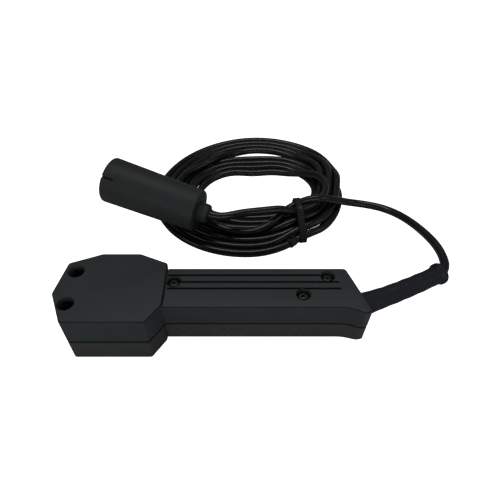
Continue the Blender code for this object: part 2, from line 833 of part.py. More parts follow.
def cord_coil():
    """The outer shape of the turns, as one closed ring."""
    bm = bmesh.new()
    rings = []
    for i in range(COIL_STEPS):
        section = coil_section(360 * i / COIL_STEPS)
        rings.append([bm.verts.new(p) for p in section])
    for low, high in zip(rings, rings[1:] + rings[:1]):
        for i in range(len(low)):
            j = (i + 1) % len(low)
            bm.faces.new((low[i], low[j], high[j], high[i]))
    finish("cord_coil", mesh_of(bm), (RUBBER, 0.25))


def flat_direction(degrees):
    turn = math.radians(degrees)
    return Vector((math.cos(turn), math.sin(turn), 0))


def strap_loop(offset, grow):
    """Where the bundle, grown by grow, meets an upright plane offset along the bundle."""
    inner, outer, _ = coil_station(TIE_ANGLE)
    centre = Vector((*COIL_CENTRE, 0)) * MM + flat_direction(TIE_ANGLE) * (inner + outer) / 2
    along = flat_direction(TIE_TURN + 90)
    points = []
    for i in range(COIL_SIDES + 3):
        low, high = TIE_ANGLE - 45, TIE_ANGLE + 45
        for _ in range(24):
            middle = (low + high) / 2
            past = (coil_section(middle, grow)[i] - centre).dot(along) - offset
            low, high = (middle, high) if past < 0 else (low, middle)
        points.append(coil_section(low, grow)[i])
    return points


def cable_tie():
    """A flat strap round the bundle, and its locking head on the outer side."""
    bm = bmesh.new()
    half = TIE_WIDTH / 2
    loops = [
        strap_loop(-half, TIE_GAP),
        strap_loop(-half, TIE_GAP + TIE_THICK),
        strap_loop(half, TIE_GAP + TIE_THICK),
        strap_loop(half, TIE_GAP),
    ]
    made = [[bm.verts.new(p) for p in loop] for loop in loops]
    for a, b in zip(made, made[1:] + made[:1]):
        for i in range(len(a)):
            j = (i + 1) % len(a)
            bm.faces.new((a[i], a[j], b[j], b[i]))
    finish("cable_tie_strap", mesh_of(bm), (SWITCH_BLACK, 0.45))

    place = Vector(TIE_HEAD) * MM
    head = centred_box((0, 0, 0), TIE_HEAD_SIZE)
    turn = Matrix.Rotation(math.radians(TIE_HEAD_TURN), 4, "Z")
    head.transform(Matrix.Translation(place) @ turn)
    finish("cable_tie_head", head, (SWITCH_BLACK, 0.45))


# ---------------------------------------------------------------- plug


def plug_axis():
    mouth, rear = Vector(PLUG_MOUTH) * MM, Vector(PLUG_REAR) * MM
    return mouth, (rear - mouth).normalized(), (rear - mouth).length


def plug_body():
    mouth, along, length = plug_axis()
    outer = [
        (0, PLUG_MOUTH_R - 0.8 * MM),
        (0.8 * MM, PLUG_MOUTH_R),
        (length - 2 * MM, PLUG_REAR_R),
        (length - 0.6 * MM, PLUG_REAR_R - 0.7 * MM),
        (length, PLUG_REAR_R - 2.2 * MM),
    ]
    body = finish("plug_body", turned(mouth, along, outer, 40), ((0.03, 0.032, 0.034), 0.6))
    bore = [(0, PLUG_BORE_R), (PLUG_BORE_DEPTH + 1 * MM, PLUG_BORE_R)]
    cut(body, finish("plug_bore", turned(mouth - along * MM, along, bore, 32)))
    cut(body, finish("plug_keyway", keyway_mesh()))


def keyway_mesh():
    """A short slot in the side of the plug, open at its mouth."""
    mouth, along, _ = plug_axis()
    side = along.cross(Vector((0, 0, 1))).normalized()
    up = side.cross(along)
    tilt = math.radians(KEYWAY_ANGLE)
    out = side * math.cos(tilt) + up * math.sin(tilt)
    across = out.cross(along)
    turn = Matrix((along, across, out)).transposed().to_4x4()
    size = (2 * KEYWAY[0], KEYWAY[1], 2 * KEYWAY[2])
    block = centred_box((0, 0, 0), size)
    block.transform(Matrix.Translation(mouth + out * PLUG_MOUTH_R) @ turn)
    return block


def contact_centres():
    mouth, along, _ = plug_axis()
    side = along.cross(Vector((0, 0, 1))).normalized()
    up = side.cross(along)
    angles = [math.tau * (k + 0.25) / CONTACTS for k in range(CONTACTS)]
    return [mouth + (side * math.cos(a) + up * math.sin(a)) * CONTACT_RING_R for a in angles]


def plug_insert():
    """The hard carrier in the plug's mouth, with a socket hole for each contact."""
    mouth, along, _ = plug_axis()
    face = mouth + along * 1.0 * MM
    length = 40 * MM
    radius = PLUG_BORE_R - GAP
    insert = finish(
        "plug_insert", turned(face, along, [(0, radius), (length, radius)], 32), (SWITCH_BLACK, 0.4)
    )
    holes = bmesh.new()
    for i, centre in enumerate(contact_centres(), 1):
        hole = [(0, SOCKET_R + 0.5 * MM), (30 * MM, SOCKET_R + 0.5 * MM)]
        add_turned(holes, centre, along, hole, 16)
        outer = [(0, SOCKET_R + 0.2 * MM), (26 * MM, SOCKET_R + 0.2 * MM)]
        inner = [(0, SOCKET_R - 0.5 * MM), (26 * MM, SOCKET_R - 0.5 * MM)]
        socket = sleeve(centre + along * 2.5 * MM, along, outer, inner, 12)
        finish(f"plug_contact_{i}", socket, BRASS)
    cut(insert, finish("socket_holes", mesh_of(holes)))


def plug_neck():
    """The short collar that the lead enters."""
    mouth, along, length = plug_axis()
    start = mouth + along * (length + GAP)
    profile = [(0, NECK_R), (NECK_LENGTH - 0.8 * MM, NECK_R), (NECK_LENGTH, NECK_R - 0.8 * MM)]
    finish("plug_neck", turned(start, along, profile, 24), ((0.03, 0.032, 0.034), 0.6))


# ---------------------------------------------------------------- the whole


def main():
    clear_scene()
    hole = lead_hole()
    back_shell(hole)
    front_shell(hole)
    seam_gasket()
    housing_fasteners()

    switch_body()
    switch_bezel()
    pivot_pin()
    switch_rocker()
    contact_plunger()
    contact_blade()
    terminals()
    wires()

    strain_relief()
    inner_lead()
    cord_clamp()

    tube("cord_free_run", FREE_ROUTE, CORD_R, (RUBBER, 0.25), 2.2)
    tube("cord_tail", TAIL_ROUTE, CORD_R, (RUBBER, 0.25), 2.2)
    cord_coil()
    cable_tie()

    plug_body()
    plug_insert()
    plug_neck()


main()
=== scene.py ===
"""The looks of the corded hand pendant: its moulded shells, strain relief, tied coil of lead
and plug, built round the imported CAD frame. Metres, +Z up."""

import math

import bmesh
import bpy
import numpy as np
from mathutils import Matrix, Vector


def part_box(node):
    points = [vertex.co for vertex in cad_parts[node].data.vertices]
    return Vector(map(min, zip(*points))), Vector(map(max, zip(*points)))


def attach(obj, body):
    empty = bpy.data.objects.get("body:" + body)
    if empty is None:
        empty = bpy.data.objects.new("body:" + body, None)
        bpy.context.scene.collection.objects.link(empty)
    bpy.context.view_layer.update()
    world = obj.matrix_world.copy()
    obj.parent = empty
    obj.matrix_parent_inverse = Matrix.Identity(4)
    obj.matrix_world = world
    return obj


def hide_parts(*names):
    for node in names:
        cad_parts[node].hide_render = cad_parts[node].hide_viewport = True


MM = 0.001
GAP = 0.3 * MM  # between neighbouring pieces
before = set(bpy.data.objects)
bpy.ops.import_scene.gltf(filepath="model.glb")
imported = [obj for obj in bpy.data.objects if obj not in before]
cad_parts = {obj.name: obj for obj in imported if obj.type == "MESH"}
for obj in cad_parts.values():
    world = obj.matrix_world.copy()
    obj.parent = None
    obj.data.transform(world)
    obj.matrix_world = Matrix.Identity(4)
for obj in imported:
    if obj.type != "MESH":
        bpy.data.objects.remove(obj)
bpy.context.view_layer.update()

# ---- the housing's shape, as the CAD has it ----
HEAD_TOP = 33.3 * MM
GRIP_TOP = 32.0 * MM
SEAM = 15.2 * MM
SEAM_GAP = 1.2 * MM
WALL = 2.4 * MM
CORNER = 2.0 * MM
GRIP_HALF_TOP = 14.9 * MM
GRIP_HALF_FRONT = 11.1 * MM
GRIP_START = -26.8 * MM
GRIP_END_NEAR = 88.2 * MM
GRIP_END_FAR = 77.8 * MM
FLARE_START = 76.0 * MM
FLARE_PEAK = 84.0 * MM
FLARE_OUT = 4.3 * MM
HEAD_OUTLINE = (
    (-26.8, 18.1),
    (-44.0, 26.0),
    (-66.8, 26.0),
    (-85.3, 18.1),
    (-88.2, -5.7),
    (-78.5, -26.0),
    (-33.5, -26.0),
    (-26.0, -13.4),
)
HEAD_DRAFT = 0.8 * MM
HEAD_SCREWS = ((-78.8, 10.9), (-78.2, -13.3))
GRIP_SCREWS = ((-21.8, 4.2), (66.5, 8.2), (51.4, -5.5))
HEAD_RECESS = (4.4 * MM, 12.0 * MM)
GRIP_RECESS = (3.9 * MM, 3.6 * MM)
SCREW_HOLE_R = 1.8 * MM
SHANK_R = 1.5 * MM
THREAD_PITCH = 0.6 * MM
THREAD_DEPTH = 0.2 * MM
SCREW_HEAD_R = 2.9 * MM
SCREW_HEAD_H = 2.0 * MM
SCREW_DOME = 1.0 * MM  # how far the head's rim is rounded
SCREW_TURN = 0.3  # how the cross of the first one is turned
POST_R = 3.5 * MM
POST_WALL = 1.2 * MM
GROOVES = ((9.3, -25.6, 63.0), (4.0, -18.0, 72.5), (-1.0, -24.8, 72.8))
GROOVE_WIDTH = 1.3 * MM
GROOVE_DEPTH = 1.3 * MM

# ---- the switch and the clamp ----
SCREW_TIP = 4.9 * MM
CLAMP_X = 34.0 * MM
CLAMP_Y = 7.0 * MM
SWITCH_X = -56.0 * MM
WELL = (32.0 * MM, 24.0 * MM, 9.0 * MM)
SWITCH_SIZE = (22.0 * MM, 16.0 * MM)
PIVOT_Z = 9.5 * MM
ROCKER_SIZE = (17.4 * MM, 10.0 * MM)
ROCKER_TIP_Z = 4.0 * MM
ROCKER_DISH = 1.4 * MM
ROCKER_RIB = 0.16 * MM
ROCKER_RIB_RATE = 52  # how fast the ribs follow one another
PIVOT_HOLE_R = 1.3 * MM
PLUNGER_HOLE_R = 1.4 * MM

# ---- the lead ----
CORD_R = 2.9 * MM
BOOT_ROUTE = (
    (77.6, -3.2, 16.0),
    (83.2, -1.3, 16.0),
    (95.3, 3.7, 16.0),
    (104.5, 7.6, 16.0),
    (114.2, 12.1, 16.0),
    (124.2, 17.0, 16.0),
    (133.7, 22.0, 16.0),
    (141.4, 26.4, 16.0),
)
BOOT_R = 6.35  # the sleeve's radius at the housing, in millimetres as the rest of it
BOOT_TAPER = 0.75  # how much slimmer it is at its far end
BOOT_FLANGE = (2.0, 8.2)  # inside the wall: length and radius
BOOT_SWELL = (7.0, 1.4, 0.95, 18.0)  # outside the wall: start, rise, height and fade
BOOT_WAVES = (0.09, 0.62, 12.0, 10.0)  # height, frequency, start and rise
BOOT_BEAD = (4.2, 1.5, 7.0)  # at the far end: length, rise and radius
BOOT_EDGE = 0.9  # how far the end is rounded
BOOT_STEP = 0.45 * MM  # between its rings
BOOT_HOLE_R = 6.7 * MM
FREE_ROUTE = (
    (142.0, 26.8, 15.95),
    (144.6, 28.3, 16.0),
    (146.4, 31.0, 16.0),
    (147.0, 35.2, 15.9),
    (147.8, 43.0, 15.3),
    (147.8, 51.0, 14.4),
    (146.8, 61.0, 12.6),
    (144.8, 71.3, 10.5),
    (141.6, 82.6, 8.2),
    (137.1, 93.4, 6.0),
    (132.8, 100.6, 4.5),
    (127.4, 106.5, 3.5),
    (121.8, 110.0, 3.2),
    (115.7, 112.3, 3.1),
    (105.9, 114.8, 3.2),
    (98.5, 114.8, 3.9),
)
CROSSING = (  # over the bundle, to the tie
    (91.5, 112.4, 6.0),
    (84.0, 106.8, 11.0),
    (77.0, 100.5, 16.5),
    (68.5, 96.0, 19.0),
)
TAIL_ROUTE = (  # from the tie along the near bundle and up to the plug
    (47.0, 88.2, 18.6),
    (38.0, 85.8, 19.6),
    (32.8, 84.4, 20.0),
    (26.5, 82.8, 20.5),
    (20.7, 81.1, 21.1),
    (15.1, 79.0, 21.8),
    (10.5, 77.0, 22.2),
    (7.0, 75.1, 22.5),
    (4.3, 74.0, 22.7),
    (1.3, 73.45, 22.8),
    (-1.7, 73.5, 23.0),
    (-4.6, 74.2, 23.45),
)
COIL_CENTRE = (25.0, 133.0)
COIL_STATIONS = (  # angle from +X, inner radius, outer radius
    (0, 48, 71),
    (30, 40, 76),
    (60, 26, 79),
    (90, 21, 79),
    (120, 25, 77),
    (150, 36, 73),
    (180, 43, 75),
    (210, 46, 81),
    (240, 42, 80),
    (270, 38, 77),
    (295, 41, 66),
    (305, 43, 64),
    (315, 45, 64),
    (335, 49, 66),
)
TURNS = 8
# How the turns lie: an angle, the turns on the ground from the inside out (a space is a gap),
# and the turns on top of them with the valley that each one lies in.
LAYERS = (
    (270, "237465", {8: 0, 1: 2}),
    (225, "237465", {8: 0, 1: 1}),
    (180, "82345", {1: 0, 7: 2, 6: 3}),
    (135, "8123 45", {7: 2, 6: 5}),
    (90, "8123 745", {6: 6}),
    (45, "8123745", {6: 5}),
    (0, "1234", {7: 0, 6: 1, 5: 2}),
)
SPACING = 3.0  # between the points of the cord's line
TOUCH = 5.9  # between the middles of two strands that touch
GROUND = 3.0
# How the wound cord settles.
ROUNDS = 300
HOLD = 0.015  # how much of the way back to its wound place a point goes in a round
SINK = 0.35  # how far it sinks in a round, at first
TIE_LIFT = 1.5  # the strap passes under the strands, which lie this much higher there
TIE_LIFT_REACH = 16
TIE_MIDDLE = (57.5, 89.5)
TIE_FACES = -68.3  # the way in which TIE_PLACES measures outwards
TIE_TURN = 278.0  # the way outwards in the strap's own plane
TIE_WIDTH = 4.8 * MM
STRAP_INSIDE, STRAP_OUTSIDE = 0.1 * MM, 1.15 * MM  # from the strands
STRAP_STEPS = 160
STRAP_RIB = 0.12  # a rib's height as a share of the strap's thickness
LOCK_HALF = (3.4 * MM, 2.7 * MM, 2.8 * MM)
LOCK_EDGE = 0.5 * MM
LOCK_ASIDE = 2.7 * MM  # from the middle of the CAD head
TIE_HEAD_TURN = 45.0
# The tie holds each turn in its own place: how far out from the middle, and how high.
TIE_PLACES = (
    (-7.0, 15.4),
    (-7.0, 5.1),
    (-1.0, 5.1),
    (5.0, 5.1),
    (11.0, 5.1),
    (8.0, 10.2),
    (2.0, 10.2),
    (-4.0, 10.2),
    (-1.0, 15.4),
)

# ---- the plug ----
PLUG_MOUTH = (-77.5, 99.5, 36.0)
PLUG_REAR = (-13.6, 77.3, 25.0)
PLUG_MOUTH_R = 16.4 * MM
PLUG_REAR_R = 14.8 * MM
PLUG_BORE_R = 12.4 * MM
PLUG_BORE_DEPTH = 46.0 * MM
NECK_LENGTH = 7.0 * MM
PLUG_END = 1.5 * MM  # how far the rear edge is rounded
KEYWAY = (9.0 * MM, 1.6 * MM, 2.0 * MM)
KEYWAY_ANGLE = 44.0

# ---- the camera, the floor and the light ----
LENS, SENSOR = 33.34, 36  # in millimetres
CAMERA_PLACE = (0.0217, -0.1759, 0.2259)
CAMERA_DOWN = 43.22  # degrees below level
WHITE = 1.5  # bright enough for plain white
WORLD_LIGHT = 0.12
FLOOR_HALF = 6
FLOOR_SINK = 0.3 * MM
FLOOR_GREY = (0.45, 0.45, 0.45, 1)
LAMPS = (  # name, place, what it points at, width and height, power
    ("overhead", (-0.03, 0.25, 0.85), (0.0, 0.08, 0), (0.8, 0.22), 4.0),
    ("back_strip", (0.0, 0.95, 0.6), (0.02, 0.1, 0.02), (0.9, 0.1), 0.1),
    ("near_fill", (0.0, -0.9, 0.25), (0.0, 0.0, 0.02), (1.6, 0.3), 6.0),
    ("left_fill", (-0.8, -0.3, 0.4), (0, 0.05, 0.02), (0.4, 0.4), 0.7),
    ("right_fill", (0.85, -0.1, 0.4), (0, 0.05, 0.02), (0.4, 0.4), 0.7),
)

# ---- the looks of moulded pieces ----
MOULDED = (  # key, name, dark and light colour, roughness, grain in millimetres
    ("back", "back_plastic", (0.0165, 0.0205, 0.0215), (0.0205, 0.0245, 0.0255), 0.5, 0.05),
    ("front", "front_plastic", (0.0245, 0.0250, 0.0250), (0.0290, 0.0292, 0.0290), 0.52, 0.05),
    ("boot", "boot_rubber", (0.006, 0.0075, 0.011), (0.009, 0.011, 0.015), 0.55, 0.03),
    ("plug", "plug_rubber", (0.0125, 0.0142, 0.0150), (0.0175, 0.0192, 0.0200), 0.58, 0.06),
    ("tie", "tie_nylon", (0.005, 0.0055, 0.006), (0.008, 0.0085, 0.009), 0.38, 0.015),
    ("switch", "switch_plastic", (0.008, 0.008, 0.0085), (0.011, 0.011, 0.0115), 0.4, 0.02),
    ("rocker", "rocker_plastic", (0.012, 0.012, 0.0125), (0.016, 0.016, 0.0165), 0.42, 0.03),
    ("gasket", "gasket_rubber", (0.003, 0.0033, 0.0035), (0.005, 0.0052, 0.0055), 0.75, 0.02),
    ("carrier", "carrier_plastic", (0.012, 0.012, 0.013), (0.017, 0.017, 0.018), 0.4, 0.02),
    ("nylon", "plunger_nylon", (0.55, 0.55, 0.52), (0.62, 0.62, 0.59), 0.45, 0.01),
    ("spade", "spade_sleeve", (0.4, 0.02, 0.015), (0.5, 0.035, 0.025), 0.35, 0.01),
    ("red", "wire_red", (0.4, 0.018, 0.015), (0.5, 0.03, 0.025), 0.38, 0.01),
    ("white", "wire_white", (0.6, 0.6, 0.57), (0.68, 0.68, 0.65), 0.4, 0.01),
    ("black", "wire_black", (0.012, 0.012, 0.012), (0.018, 0.018, 0.018), 0.4, 0.01),
)
# painted dark reflection: the colour given to the housing shells' rounded top edges
EDGE_PAINTED_REFLECTION = (0.003, 0.0032, 0.0035)


# ---------------- camera and light


def make_camera():
    data = bpy.data.cameras.new("camera")
    data.lens, data.sensor_width = LENS, SENSOR
    data.clip_start = 0.01
    camera = bpy.data.objects.new("camera", data)
    camera.location = CAMERA_PLACE
    camera.rotation_euler = (math.radians(90 - CAMERA_DOWN), 0, 0)
    bpy.context.scene.collection.objects.link(camera)
    bpy.context.scene.camera = camera


def area_light(name, place, aim, size, power):
    data = bpy.data.lights.new(name, "AREA")
    data.shape = "RECTANGLE"
    data.size, data.size_y = size
    data.energy = power
    lamp = bpy.data.objects.new(name, data)
    lamp.location = place
    lamp.rotation_euler = (Vector(aim) - Vector(place)).to_track_quat("-Z", "Y").to_euler()
    bpy.context.scene.collection.objects.link(lamp)


def make_world():
    """White behind the object, and a faint even light."""
    world = bpy.data.worlds.new("studio")
    world.use_nodes = True
    tree = world.node_tree
    backdrop = tree.nodes["Background"]
    backdrop.inputs["Color"].default_value = (1, 1, 1, 1)
    seen = add_node(tree, "ShaderNodeLightPath").outputs["Is Camera Ray"]
    tree.links.new(remap(tree, seen, 0, 1, WORLD_LIGHT, WHITE), backdrop.inputs["Strength"])
    bpy.context.scene.world = world


def floor_paint():
    """White to the camera, grey to the light that it sends back, and clear from below."""
    paint, tree, shader = new_material("floor_white")
    shader.inputs["Roughness"].default_value = 0.9
    shader.inputs["Specular IOR Level"].default_value = 0.1
    shader.inputs["Base Color"].default_value = FLOOR_GREY
    glow = add_node(tree, "ShaderNodeEmission", {"Strength": WHITE}).outputs[0]
    seen = add_node(tree, "ShaderNodeLightPath").outputs["Is Camera Ray"]
    above = add_node(tree, "ShaderNodeMixShader", {0: seen, 1: shader.outputs[0], 2: glow})
    clear = add_node(tree, "ShaderNodeBsdfTransparent").outputs[0]
    below = add_node(tree, "ShaderNodeNewGeometry").outputs["Backfacing"]
    both = add_node(tree, "ShaderNodeMixShader", {0: below, 1: above.outputs[0], 2: clear})
    tree.links.new(both.outputs[0], tree.nodes["Material Output"].inputs["Surface"])
    return paint


def make_stage():
    scene = bpy.context.scene
    scene.view_settings.view_transform = "Standard"
    scene.view_settings.look = "None"
    make_world()
    bm = bmesh.new()
    bmesh.ops.create_grid(bm, x_segments=1, y_segments=1, size=FLOOR_HALF)
    mesh = bpy.data.meshes.new("floor")
    bm.to_mesh(mesh)
    bm.free()
    mesh.materials.append(floor_paint())
    floor = bpy.data.objects.new("floor", mesh)
    scene.collection.objects.link(floor)
    floor.location.z = -FLOOR_SINK
    for name, place, aim, size, power in LAMPS:
        area_light(name, place, aim, size, power)


# ---------------- materials


def new_material(name):
    made = bpy.data.materials.new(name)
    made.use_nodes = True
    tree = made.node_tree
    return made, tree, tree.nodes["Principled BSDF"]


def add_node(tree, kind, inputs=(), **settings):
    node = tree.nodes.new(kind)
    for key, value in settings.items():
        setattr(node, key, value)
    for key, value in dict(inputs).items():
        if isinstance(value, bpy.types.NodeSocket):
            tree.links.new(value, node.inputs[key])
        else:
            node.inputs[key].default_value = value
    return node


def noise(tree, scale, detail, roughness, stretch=None):
    """A noise in the object's own metres; stretch scales its axes."""
    where = tree.nodes.new("ShaderNodeTexCoord").outputs["Object"]
    if stretch:
        where = add_node(tree, "ShaderNodeMapping", {"Vector": where, "Scale": stretch}).outputs[0]
    inputs = {"Vector": where, "Scale": scale, "Detail": detail, "Roughness": roughness}
    return add_node(tree, "ShaderNodeTexNoise", inputs).outputs["Fac"]


def remap(tree, value, low, high, to_low, to_high):
    """Takes the range from low to high onto the one from to_low to to_high."""
    inputs = enumerate((value, low, high, to_low, to_high))
    return add_node(tree, "ShaderNodeMapRange", inputs).outputs[0]


def blend_colours(tree, share, first, second):
    mix = tree.nodes.new("ShaderNodeMix")
    mix.data_type = "RGBA"
    for socket, value in ((mix.inputs["Factor"], share), (mix.inputs[6], first), (mix.inputs[7], second)):
        if isinstance(value, bpy.types.NodeSocket):
            tree.links.new(value, socket)
        elif isinstance(value, tuple):
            socket.default_value = (*value, 1)
        else:
            socket.default_value = value
    return mix.outputs[2]


def bump(tree, height, distance, strength=1.0, below=None):
    inputs = {"Height": height, "Distance": distance, "Strength": strength}
    if below is not None:
        inputs["Normal"] = below
    return add_node(tree, "ShaderNodeBump", inputs).outputs[0]


def moulded(name, dark, light, rough, grain=0.05, specular=0.16, edge=None):
    """Moulded plastic or rubber: a fine spark grain, faint flow clouds and a painted dark reflection on
    the top edges.
    """
    made, tree, shader = new_material(name)
    clouds = noise(tree, 35, 3, 0.55)
    specks = noise(tree, 900, 2, 0.6)
    colour = blend_colours(tree, remap(tree, clouds, 0.35, 0.65, 0, 1), dark, light)
    colour = blend_colours(tree, remap(tree, specks, 0.62, 0.8, 0, 0.35), colour, light)
    # painted dark reflection: where the normal leans between a wall and the top, the colour goes towards
    # the edge colour, as if the rounded top edges mirrored a dark room
    if edge:
        normal = add_node(tree, "ShaderNodeTexCoord").outputs["Normal"]
        facing = add_node(tree, "ShaderNodeSeparateXYZ", {0: normal}).outputs[2]
        from_wall = remap(tree, facing, 0.2, 0.35, 0, 1)
        to_top = remap(tree, facing, 0.9, 0.98, 1, 0)
        between = add_node(tree, "ShaderNodeMath", {0: from_wall, 1: to_top}, operation="MULTIPLY")
        colour = blend_colours(tree, between.outputs[0], colour, edge)
    tree.links.new(colour, shader.inputs["Base Color"])
    tree.links.new(remap(tree, clouds, 0.3, 0.7, rough - 0.05, rough + 0.06), shader.inputs["Roughness"])
    fine = noise(tree, 2600, 2, 0.6)
    coarse = noise(tree, 240, 3, 0.5)
    normal = bump(tree, coarse, grain * 0.6 * MM)
    normal = bump(tree, fine, grain * MM, 0.8, normal)
    tree.links.new(normal, shader.inputs["Normal"])
    shader.inputs["Specular IOR Level"].default_value = specular
    return made


def metal(name, colour, rough, lines=(1, 1, 6)):
    made, tree, shader = new_material(name)
    streaks = noise(tree, 700, 3, 0.6, stretch=lines)
    tint = tuple(c * 0.75 for c in colour)
    tree.links.new(blend_colours(tree, streaks, tint, colour), shader.inputs["Base Color"])
    tree.links.new(remap(tree, streaks, 0.3, 0.7, rough - 0.08, rough + 0.1), shader.inputs["Roughness"])
    tree.links.new(bump(tree, streaks, 0.02 * MM), shader.inputs["Normal"])
    shader.inputs["Metallic"].default_value = 1
    return made


def jacket(name, colour, rough):
    """A glossy extruded jacket, with faint ripples and duller rubbed patches."""
    made, tree, shader = new_material(name)
    ripple = noise(tree, 45, 1, 0.4)
    rubbed = noise(tree, 70, 2, 0.5)
    light = tuple(c * 1.6 + 0.001 for c in colour)
    tint = blend_colours(tree, remap(tree, rubbed, 0.5, 0.7, 0, 0.6), colour, light)
    tree.links.new(tint, shader.inputs["Base Color"])
    tree.links.new(remap(tree, rubbed, 0.35, 0.7, rough - 0.03, rough + 0.06), shader.inputs["Roughness"])
    tree.links.new(bump(tree, ripple, 0.12 * MM, 0.4), shader.inputs["Normal"])
    shader.inputs["Specular IOR Level"].default_value = 0.24
    return made


# ---------------- mesh helpers


def new_object(name, mesh):
    mesh.name = name
    obj = bpy.data.objects.new(name, mesh)
    bpy.context.scene.collection.objects.link(obj)
    return obj


def mesh_of(bm):
    bmesh.ops.recalc_face_normals(bm, faces=bm.faces)
    mesh = bpy.data.meshes.new("mesh")
    bm.to_mesh(mesh)
    bm.free()
    return mesh


def add_loft(bm, rings, closed=False):
    """A skin through rings of equally many points, capped unless it closes on itself."""
    made = [[bm.verts.new(p) for p in ring] for ring in rings]
    count = len(rings[0])
    pairs = list(zip(made, made[1:] + made[:1])) if closed else list(zip(made, made[1:]))
    for low, high in pairs:
        for i in range(count):
            j = (i + 1) % count
            bm.faces.new((low[i], low[j], high[j], high[i]))
    if not closed:
        bm.faces.new(list(reversed(made[0])))
        bm.faces.new(made[-1])


def loft(rings, closed=False):
    bm = bmesh.new()
    add_loft(bm, rings, closed)
    return mesh_of(bm)


def circle(centre, radius, along, sides):
    turn = Vector(along).to_track_quat("Z", "Y").to_matrix()
    angles = [math.tau * i / sides for i in range(sides)]
    return [Vector(centre) + turn @ Vector((math.cos(a), math.sin(a), 0)) * radius for a in angles]


def turned_rings(start, along, profile, sides):
    axis = Vector(along).normalized()
    return [circle(Vector(start) + axis * d, r, axis, sides) for d, r in profile]


def apply_cuts(obj, cutters):
    """Cuts or joins each (mesh, operation) in turn and leaves a plain mesh."""
    helpers = []
    for mesh, operation in cutters:
        helper = bpy.data.objects.new("helper", mesh)
        bpy.context.scene.collection.objects.link(helper)
        helpers.append(helper)
        step = obj.modifiers.new("step", "BOOLEAN")
        step.operation, step.solver, step.object = operation, "EXACT", helper
    graph = bpy.context.evaluated_depsgraph_get()
    result = bpy.data.meshes.new_from_object(obj.evaluated_get(graph))
    obj.modifiers.clear()
    old, obj.data = obj.data, result
    bpy.data.meshes.remove(old)
    for helper in helpers:
        bpy.data.meshes.remove(helper.data)


def smooth_route(route, step):
    """Points about step apart on a smooth curve through a route given in millimetres."""
    knots = [Vector(p) * MM for p in route]
    ends = [2 * knots[0] - knots[1]] + knots + [2 * knots[-1] - knots[-2]]
    points = []
    for a, b, c, d in zip(ends, ends[1:], ends[2:], ends[3:]):
        pieces = max(1, round((c - b).length / step))
        for i in range(pieces):
            t = i / pieces
            points.append(
                b
                + (c - a) * (t / 2)
                + (2 * a - 5 * b + 4 * c - d) * (t * t / 2)
                + (3 * b - a - 3 * c + d) * (t**3 / 2)
            )
    return points + [knots[-1]]


# ---------------- the cord


def plug_axis():
    mouth, rear = Vector(PLUG_MOUTH) * MM, Vector(PLUG_REAR) * MM
    return mouth, (rear - mouth).normalized(), (rear - mouth).length


def coil_radii(angle):
    """Where the cord's middle may lie at an angle: the least and the greatest radius."""
    angle %= 360
    count = len(COIL_STATIONS)
    for i in range(count):
        low, high = COIL_STATIONS[i], COIL_STATIONS[(i + 1) % count]
        width = (high[0] - low[0]) % 360
        past = (angle - low[0]) % 360
        if past < width:
            t = past / width
            t = t * t * (3 - 2 * t)
            inner, outer = (a + (b - a) * t for a, b in zip(low[1:], high[1:]))
            return inner + CORD_R / MM, outer - CORD_R / MM
    raise ValueError(angle)


def place_in_layer(turn, layer):
    """The radius and height of a turn at one of the layers' angles."""
    angle, ground, over = layer
    inner, outer = coil_radii(angle)
    gap = (outer - inner) / (len(ground) - 1)
    rise = math.sqrt(max(0.5, TOUCH**2 - (gap / 2) ** 2))
    if str(turn) in ground:
        return inner + gap * ground.index(str(turn)), GROUND
    if turn in over:
        return inner + gap * (over[turn] + 0.5), GROUND + rise
    return inner + gap, GROUND + 2 * rise


def tie_place(turn, side):
    """A point of a turn just before (+1) or just after (-1) the middle of the tie."""
    out, height = TIE_PLACES[turn - 1]
    a = math.radians(TIE_FACES)
    across, along = np.array((math.cos(a), math.sin(a))), np.array((-math.sin(a), math.cos(a)))
    x, y = np.array(TIE_MIDDLE) + across * out + along * side * 6
    return x, y, height


def to_polar(point):
    x, y = point[0] - COIL_CENTRE[0], point[1] - COIL_CENTRE[1]
    return math.degrees(math.atan2(y, x)) % 360, math.hypot(x, y), point[2]


def from_polar(knot):
    a = math.radians(knot[0])
    return COIL_CENTRE[0] + knot[1] * math.cos(a), COIL_CENTRE[1] + knot[1] * math.sin(a), knot[2]


def turn_points(turn):
    """One turn from the tie round to the tie, eased through its places in the layers."""
    knots = [to_polar(tie_place(turn, side)) for side in (1, -1)]
    knots += [(layer[0], *place_in_layer(turn, layer)) for layer in LAYERS]
    last = [to_polar(tie_place(turn + 1, side)) for side in (1, -1)]
    knots = np.array(knots + [(a - 360, r, z) for a, r, z in last])
    points = []
    for a, b, c, d in zip(knots, knots[1:], knots[2:], knots[3:]):
        span = c[0] - b[0]
        start, end = (c - a) / (c[0] - a[0]) * span, (d - b) / (d[0] - b[0]) * span
        pieces = max(1, round(abs(span) / 5))
        for i in range(pieces):
            t = i / pieces
            bend = (2 * t**3 - 3 * t**2 + 1) * b + (3 * t**2 - 2 * t**3) * c
            points.append(from_polar(bend + (t**3 - 2 * t**2 + t) * start + (t**3 - t**2) * end))
    return points


def evenly(points, step=None, count=None):
    """A line cut into steps of an even length, or a closed one into count steps."""
    line = np.array(points, float)
    gaps = np.linalg.norm(np.diff(line, axis=0), axis=1)
    along = np.concatenate([[0], np.cumsum(gaps)])
    at = np.linspace(0, along[-1], count or round(along[-1] / step) + 1, endpoint=not count)
    return np.stack([np.interp(at, along, column) for column in line.T], axis=1)


